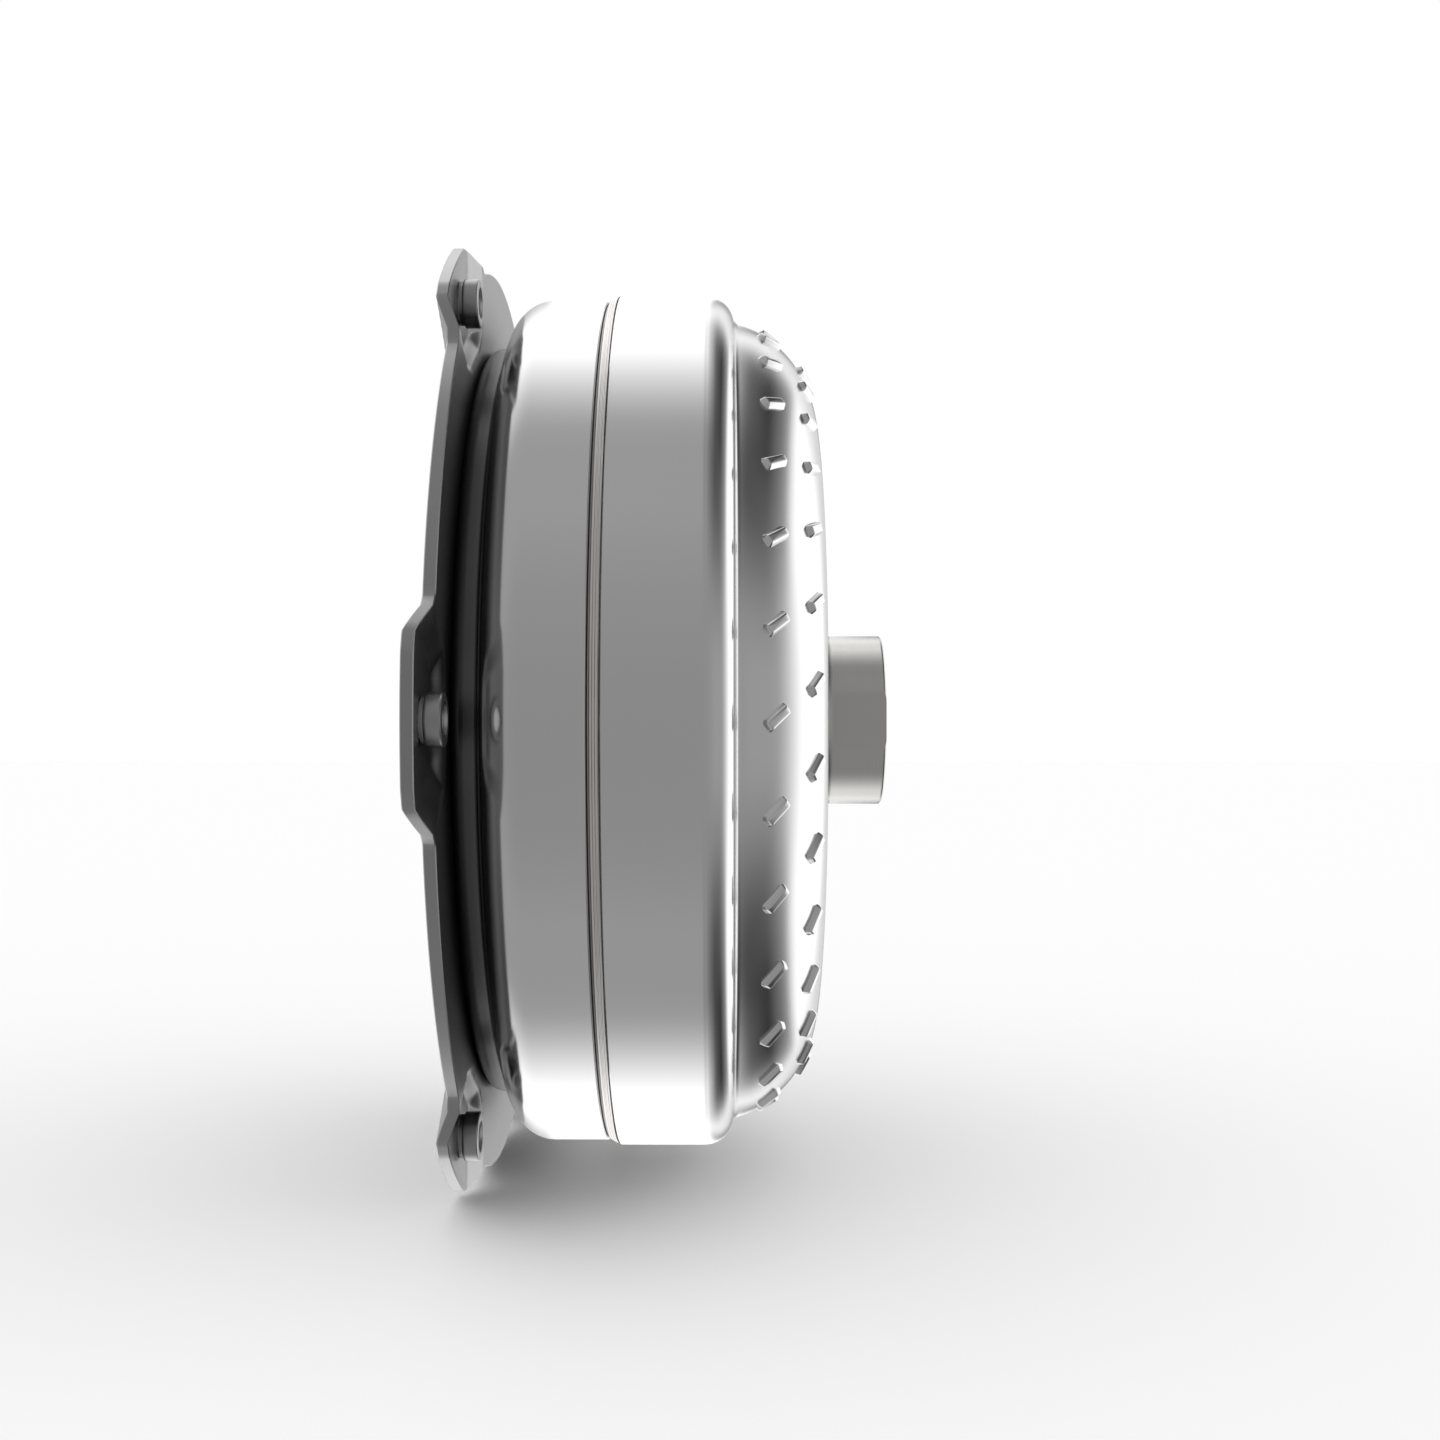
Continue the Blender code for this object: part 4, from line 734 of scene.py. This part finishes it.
def make_seam(finishes):
    """Seam bead with its fine ridges."""
    start = edge("seam_weld_bead", "X", 0)
    end = edge("seam_weld_bead", "X", 1)
    crown = edge("seam_weld_bead", "Z", 1)
    root = edge("impeller_shell", "Z", 1) - SHELL_WALL
    low = edge("impeller_shell", "Z", 1) - SEAM_NOTCH
    profile = [(start, root)]
    steps = SEAM_RIDGE_STEPS * SEAM_RIDGES
    for step in range(steps + 1):
        share = step / steps
        ridge = SEAM_RIDGE_HEIGHT * (math.cos(math.tau * SEAM_RIDGES * share) - 1)
        profile.append((mix(start, end, share), mix(low, crown, math.sqrt(share)) + ridge))
    profile.append((end, root))
    bead = turned("seam_fine", profile, FACETS, finishes["weld_steel"])
    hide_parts("seam_weld_bead")


def make_fillet(name, node, ripples, inwards, finishes):
    """A rippled fillet bead, which grows inwards from its largest radius or outwards from its least."""
    near = edge(node, "X", 0)
    far = edge(node, "X", 1)
    outer = edge(node, "Z", 1)
    leg = far - near
    sign = -1 if inwards else 1
    base = outer if inwards else outer - leg
    wall_x, open_x = (far, near) if inwards else (near, far)

    def profile_at(degrees):
        """The bead's section at an angle."""
        angle = math.radians(degrees)
        ripple = RIPPLE_HEIGHT * math.sin(angle * ripples)
        swell = FILLET_SIZE + ripple + DRIFT_HEIGHT * math.sin(DRIFT_WAVES * angle)
        points = [(wall_x, base)]
        for step in range(FILLET_STEPS + 1):
            share = step / FILLET_STEPS
            bulge = leg * (1 + FILLET_BULGE * math.sin(math.pi * share)) * swell
            along = bulge * math.cos(math.pi / 2 * share)
            out = bulge * math.sin(math.pi / 2 * share)
            points.append((mix(wall_x, open_x, along / leg), base + sign * out))
        return points

    vertices, faces = swept_geometry(profile_at, RIPPLE_FACETS * ripples)
    fillet = new_object(name, vertices, faces, finishes["weld_steel"])
    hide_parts(node)


def make_welds(finishes):
    """Seam bead, and the fillet beads at the ring's hole and round the hub's flange."""
    make_seam(finishes)
    make_fillet("ring_bead_fine", "ring_weld_bead", RING_RIPPLES, True, finishes)
    make_fillet("hub_bead_fine", "hub_weld_bead", HUB_RIPPLES, False, finishes)


def shell_profile():
    """The shell: skirt, shoulder, crease, dome, dish and the inside."""
    start_x = edge("impeller_shell", "X", 0)
    radius = edge("impeller_shell", "Z", 1)
    torus_x = edge("impeller_shell", "X", 1) - TORUS_OUTER_RADIUS
    shoulder_x = torus_x + SHOULDER_OFFSET
    shoulder_r = radius - SHOULDER_RADIUS
    dish_x = torus_x + TORUS_OUTER_RADIUS * math.cos(math.radians(DISH_START_DEG))
    inner = TORUS_OUTER_RADIUS - SHELL_WALL
    flat_back_x = dish_x - SHELL_WALL
    flat_deg = -math.degrees(math.acos((flat_back_x - torus_x) / inner))
    profile = [(start_x, radius - SEAM_EDGE), (start_x + SEAM_EDGE, radius)]
    profile += arc(shoulder_x, shoulder_r, SHOULDER_RADIUS, 90, SHOULDER_END_DEG, steps=20)
    sweep = (DOME_START_DEG, DISH_START_DEG)
    dome = arc(torus_x, TORUS_CENTRE_RADIUS, TORUS_OUTER_RADIUS, *sweep, steps=64)
    profile += crease(profile[-1], dome[0]) + dome[1:]
    profile += [(dish_x, HUB_HOLE_RADIUS), (flat_back_x, HUB_HOLE_RADIUS)]
    profile += arc(torus_x, TORUS_CENTRE_RADIUS, inner, flat_deg, INSIDE_END_DEG, steps=24)
    profile += [
        (shoulder_x + SHOULDER_RADIUS - SHELL_WALL, shoulder_r),
        (shoulder_x, radius - SHELL_WALL),
        (start_x, radius - SHELL_WALL),
    ]
    return profile


def crease(shoulder_end, dome_start):
    """Points of the small hollow fillet between shoulder and dome."""
    corner = (shoulder_end[0] + SHOULDER_BLEND / 4, dome_start[1] + SHOULDER_BLEND / 4)
    points = []
    for step in range(1, SHOULDER_BLEND_STEPS + 1):
        share = step / SHOULDER_BLEND_STEPS
        first = [mix(a, b, share) for a, b in zip(shoulder_end, corner)]
        second = [mix(a, b, share) for a, b in zip(corner, dome_start)]
        points.append(tuple(mix(a, b, share) for a, b in zip(first, second)))
    return points


def seat_outline(inset):
    """The rounded outline of a seat, drawn in by a distance: (along, across) points."""
    corner = max(SEAT_CORNER - inset, SEAT_LEAST_CORNER)
    half_length = SEAT_LENGTH / 2 - inset - corner
    half_width = SEAT_WIDTH / 2 - inset - corner
    points = []
    for quarter, (end, side) in enumerate(((1, 1), (-1, 1), (-1, -1), (1, -1))):
        for step in range(SEAT_CORNER_STEPS + 1):
            angle = math.pi / 2 * (quarter + step / SEAT_CORNER_STEPS)
            along = end * half_length + corner * math.cos(angle)
            across = side * half_width + corner * math.sin(angle)
            points.append((along, across))
    return points


def seat_loops():
    """Loops of (along, across, height) from a seat's foot, just under the dome, to its middle."""
    loops = []
    for inset, height in SEAT_BEVEL_STEPS:
        outline = seat_outline(inset * SEAT_BEVEL)
        loops.append([(along, across, height * SEAT_HEIGHT) for along, across in outline])
    top = loops[-1]
    for share in SEAT_TOP_SHARES:
        loops.append([(along * share, across * share, height) for along, across, height in top])
    return loops


def seat_geometry(row_deg, turn, torus_x, first):
    """Vertices and faces of one raised seat, numbered from first."""
    slant = math.radians(SEAT_SLANT_DEG)
    radius = TORUS_CENTRE_RADIUS + TORUS_OUTER_RADIUS * math.sin(math.radians(row_deg))
    vertices = []
    faces = []
    loops = seat_loops()
    count = len(loops[0])
    for loop in loops:
        for along, across, height in loop:
            inwards = along * math.cos(slant) - across * math.sin(slant)
            round_axis = along * math.sin(slant) + across * math.cos(slant)
            angle = math.radians(row_deg) - inwards / TORUS_OUTER_RADIUS
            size = TORUS_OUTER_RADIUS + height
            x = torus_x + size * math.cos(angle)
            r = TORUS_CENTRE_RADIUS + size * math.sin(angle)
            vertices.append(at(x, r, turn + math.degrees(round_axis / radius)))
    for ring in range(len(loops) - 1):
        for point in range(count):
            after = (point + 1) % count
            low = first + ring * count
            faces.append((low + point, low + after, low + count + after, low + count + point))
    last = first + (len(loops) - 1) * count
    faces.append(tuple(range(last, last + count)))
    return vertices, faces


def make_shell(finishes):
    """Impeller shell with its two rows of raised vane seats."""
    torus_x = edge("impeller_shell", "X", 1) - TORUS_OUTER_RADIUS
    shell = turned("shell_fine", shell_profile(), FACETS, finishes["satin_steel"])
    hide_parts("impeller_shell")
    vertices = []
    faces = []
    for row_deg, shift in SEAT_ROWS:
        for vane in range(VANE_COUNT):
            turn = 360 * vane / VANE_COUNT + shift
            more, sides = seat_geometry(row_deg, turn, torus_x, len(vertices))
            vertices += more
            faces += sides
    new_object("vane_seats", vertices, faces, finishes["satin_steel"])


def make_hub(finishes):
    """Pump hub with its neck fillet and drive flats."""
    nose_x = edge("pump_hub", "X", 0)
    end_x = edge("pump_hub", "X", 1)
    flange_r = edge("pump_hub", "Z", 1)
    flange_x = edge("hub_weld_bead", "X", 0)
    face_x = flange_x + HUB_FLANGE_THICKNESS
    neck_x = face_x + HUB_NECK_FILLET
    profile = (
        [
            (nose_x, HUB_BORE_RADIUS),
            (nose_x, HUB_SPIGOT_RADIUS),
            (flange_x, HUB_SPIGOT_RADIUS),
            (flange_x, flange_r),
            (face_x - HUB_FLANGE_EDGE, flange_r),
            (face_x, flange_r - HUB_FLANGE_EDGE),
        ]
        + arc(neck_x, HUB_RADIUS + HUB_NECK_FILLET, HUB_NECK_FILLET, 180, 270, steps=12)
        + arc(end_x - HUB_CORNER, HUB_RADIUS - HUB_CORNER, HUB_CORNER, 90, 0, steps=10)
        + arc(end_x - HUB_CORNER, HUB_BORE_RADIUS + HUB_CORNER, HUB_CORNER, 0, -90, steps=10)
    )
    hub = turned("hub_fine", profile, FACETS, finishes["turned_steel"])
    mesh = bmesh.new()
    for side in (-1, 1):
        middle = Vector((neck_x + HUB_RADIUS, side * (HUB_FLAT_DISTANCE + HUB_RADIUS / 2), 0))
        size = Matrix.Diagonal((2 * HUB_RADIUS, HUB_RADIUS, 3 * HUB_RADIUS, 1))
        bmesh.ops.create_cube(mesh, size=1.0, matrix=Matrix.Translation(middle) @ size)
    cut(hub, cutter_object(mesh))
    shade(hub.data, sharp_deg=HUB_SHARP_DEG)
    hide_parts("pump_hub")


def make_pilot(finishes):
    """Crank pilot with its centre drilling."""
    flange_r = edge("crank_pilot", "Z", 1)
    end_x = edge("crank_pilot", "X", 1)
    seat_x = PILOT_LENGTH + PILOT_FLANGE_THICKNESS
    profile = [
        (PILOT_CENTRE_DRILL_DEPTH, NEAR_AXIS),
        (0, PILOT_CENTRE_DRILL_RADIUS),
        (0, PILOT_RADIUS - PILOT_CHAMFER),
        (PILOT_CHAMFER, PILOT_RADIUS),
        (PILOT_LENGTH, PILOT_RADIUS),
        (PILOT_LENGTH, flange_r),
        (seat_x, flange_r),
        (seat_x, PILOT_SPIGOT_RADIUS),
        (end_x, PILOT_SPIGOT_RADIUS),
        (end_x, NEAR_AXIS),
    ]
    profile = rounded(profile, PILOT_EDGE)
    pilot = turned("pilot_fine", profile, 2 * SMALL_FACETS, finishes["turned_steel"])
    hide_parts("crank_pilot")


def spring_geometry(middle, outwards, along):
    """Vertices and faces of one coil spring round its middle."""
    sides = SPRING_WIRE_SIDES
    turns = SPRING_ACTIVE_TURNS + 2 * SPRING_END_TURNS
    steps = round(turns * SPRING_TURN_STEPS)
    vertices = []
    faces = []
    for step in range(steps + 1):
        turn = turns * step / steps
        share = min(max((turn - SPRING_END_TURNS) / SPRING_ACTIVE_TURNS, 0.0), 1.0)
        angle = math.tau * turn
        radial = outwards * math.cos(angle) + Vector((math.sin(angle), 0, 0))
        place = middle + radial * SPRING_COIL_RADIUS
        place += along * mix(-SPRING_HALF_LENGTH, SPRING_HALF_LENGTH, share)
        for side in range(sides):
            round_wire = math.tau * side / sides
            offset = radial * math.cos(round_wire) + along * math.sin(round_wire)
            vertices.append(place + offset * SPRING_WIRE_RADIUS)
    for step in range(steps):
        low = step * sides
        for side in range(sides):
            beside = (side + 1) % sides
            faces.append((low + side, low + beside, low + sides + beside, low + sides + side))
    faces.append(tuple(range(sides)))
    faces.append(tuple(range(steps * sides, (steps + 1) * sides)))
    return vertices, faces


def make_springs(finishes):
    """Damper springs, each a coil of wire along a chord with a mesh of its own."""
    for spring in range(SPRING_COUNT):
        node = f"damper_spring_{spring + 1}"
        degrees = spring * 360 / SPRING_COUNT + SPRING_TURN_DEG
        outwards = at(0, 1, degrees)
        along = at(0, 1, degrees + 90)
        middle = outwards * SPRING_CHORD_RADIUS
        middle.x = (edge(node, "X", 0) + edge(node, "X", 1)) / 2
        vertices, faces = spring_geometry(middle, outwards, along)
        name = f"spring_fine_{spring + 1}"
        coil = new_object(name, vertices, faces, finishes["spring_steel"], "turbine")
        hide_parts(node)
        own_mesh(coil)


def make_floor():
    """A plain pale floor under the part, which takes its shadow."""
    size = FLOOR_SIZE / 2
    z = cad_low.z
    data = bpy.data.meshes.new("floor")
    corners = [(-size, -size, z), (size, -size, z), (size, size, z), (-size, size, z)]
    data.from_pydata(corners, [], [(0, 1, 2, 3)])
    floor = bpy.data.objects.new("floor", data)
    bpy.context.scene.collection.objects.link(floor)
    pale = bpy.data.materials.new("floor_pale")
    pale.use_nodes = True
    shader = pale.node_tree.nodes["Principled BSDF"]
    shader.inputs["Base Color"].default_value = (*FLOOR_COLOUR, 1.0)
    shader.inputs["Roughness"].default_value = 1.0
    shader.inputs["Specular IOR Level"].default_value = 0.0
    data.materials.append(pale)
    floor.visible_glossy = False


def make_world():
    """Soft studio: an even white surround, in which metal sees a grey front and a white back.

    The lower half mirrors the upper half, so the metal is as dark below as above.
    """
    world = bpy.data.worlds.new("studio")
    world.use_nodes = True
    bpy.context.scene.world = world
    nodes = world.node_tree.nodes
    links = world.node_tree.links

    def calculate(operation, *inputs):
        """A Math node on sockets and numbers."""
        node = nodes.new("ShaderNodeMath")
        node.operation = operation
        for index, value in enumerate(inputs):
            if isinstance(value, (int, float)):
                node.inputs[index].default_value = value
            else:
                links.new(value, node.inputs[index])
        return node.outputs[0]

    def levels(value, stops):
        """A socket that follows the stops in straight lines as the value goes from -1 to 1."""
        scale = max(level for place, level in stops)
        ramp = nodes.new("ShaderNodeValToRGB")
        elements = ramp.color_ramp.elements
        while len(elements) < len(stops):
            elements.new(0.5)
        for index, (place, level) in enumerate(stops):
            elements[index].position = (place + 1) / 2
            elements[index].color = (level / scale, level / scale, level / scale, 1.0)
        links.new(calculate("MULTIPLY_ADD", value, 0.5, 0.5), ramp.inputs["Fac"])
        return calculate("MULTIPLY", ramp.outputs["Color"], scale)

    place = nodes.new("ShaderNodeTexCoord")
    parts = nodes.new("ShaderNodeSeparateXYZ")
    links.new(place.outputs["Generated"], parts.inputs["Vector"])
    x, y = parts.outputs["X"], parts.outputs["Y"]
    height = calculate("ABSOLUTE", parts.outputs["Z"])

    backdrop = levels(calculate("MULTIPLY_ADD", x, STUDIO_LEAN, y), BACKDROP)
    away = calculate("SUBTRACT", BACK_LIMIT, y)
    lean = calculate("DIVIDE", x, calculate("SQRT", calculate("MULTIPLY", away, 2.0)))
    tilt = calculate("DIVIDE", calculate("ARCTAN2", height, away), math.pi)
    band = calculate("MULTIPLY", levels(lean, BAND_LEANS), levels(tilt, BAND_TILTS))
    dim = calculate("MULTIPLY", levels(x, DIM_SIDES), levels(y, DIM_DEPTHS))
    dim = calculate("MAXIMUM", dim, levels(y, OUTLINE_DEPTHS))
    lit = calculate("SUBTRACT", 1.0, calculate("MAXIMUM", band, dim))
    picture = calculate("MULTIPLY", backdrop, lit)

    ray = nodes.new("ShaderNodeLightPath")
    mirrors = calculate("MAXIMUM", ray.outputs["Is Glossy Ray"], ray.outputs["Is Transmission Ray"])
    strength = nodes.new("ShaderNodeMix")
    links.new(mirrors, strength.inputs["Factor"])
    strength.inputs["A"].default_value = 1.0
    links.new(picture, strength.inputs["B"])
    links.new(strength.outputs["Result"], nodes["Background"].inputs["Strength"])
    nodes["Background"].inputs["Color"].default_value = (1, 1, 1, 1)


def make_camera():
    """Camera level with the axis, square to it, at the photograph's distance."""
    data = bpy.data.cameras.new("camera")
    data.lens = LENS_MM
    data.sensor_width = SENSOR_MM
    data.clip_start = CLIP_START
    camera = bpy.data.objects.new("camera", data)
    camera.location = (CAMERA_X, -CAMERA_DISTANCE, 0)
    camera.rotation_euler = (math.pi / 2, 0, 0)
    bpy.context.scene.collection.objects.link(camera)
    bpy.context.scene.camera = camera


finishes = make_finishes()
dress_cad_nodes(finishes)
make_cover(finishes)
make_ring(finishes)
make_bosses(finishes)
make_welds(finishes)
make_shell(finishes)
make_hub(finishes)
make_pilot(finishes)
make_springs(finishes)
make_floor()
make_world()
make_camera()
bpy.context.scene.view_settings.view_transform = "Standard"
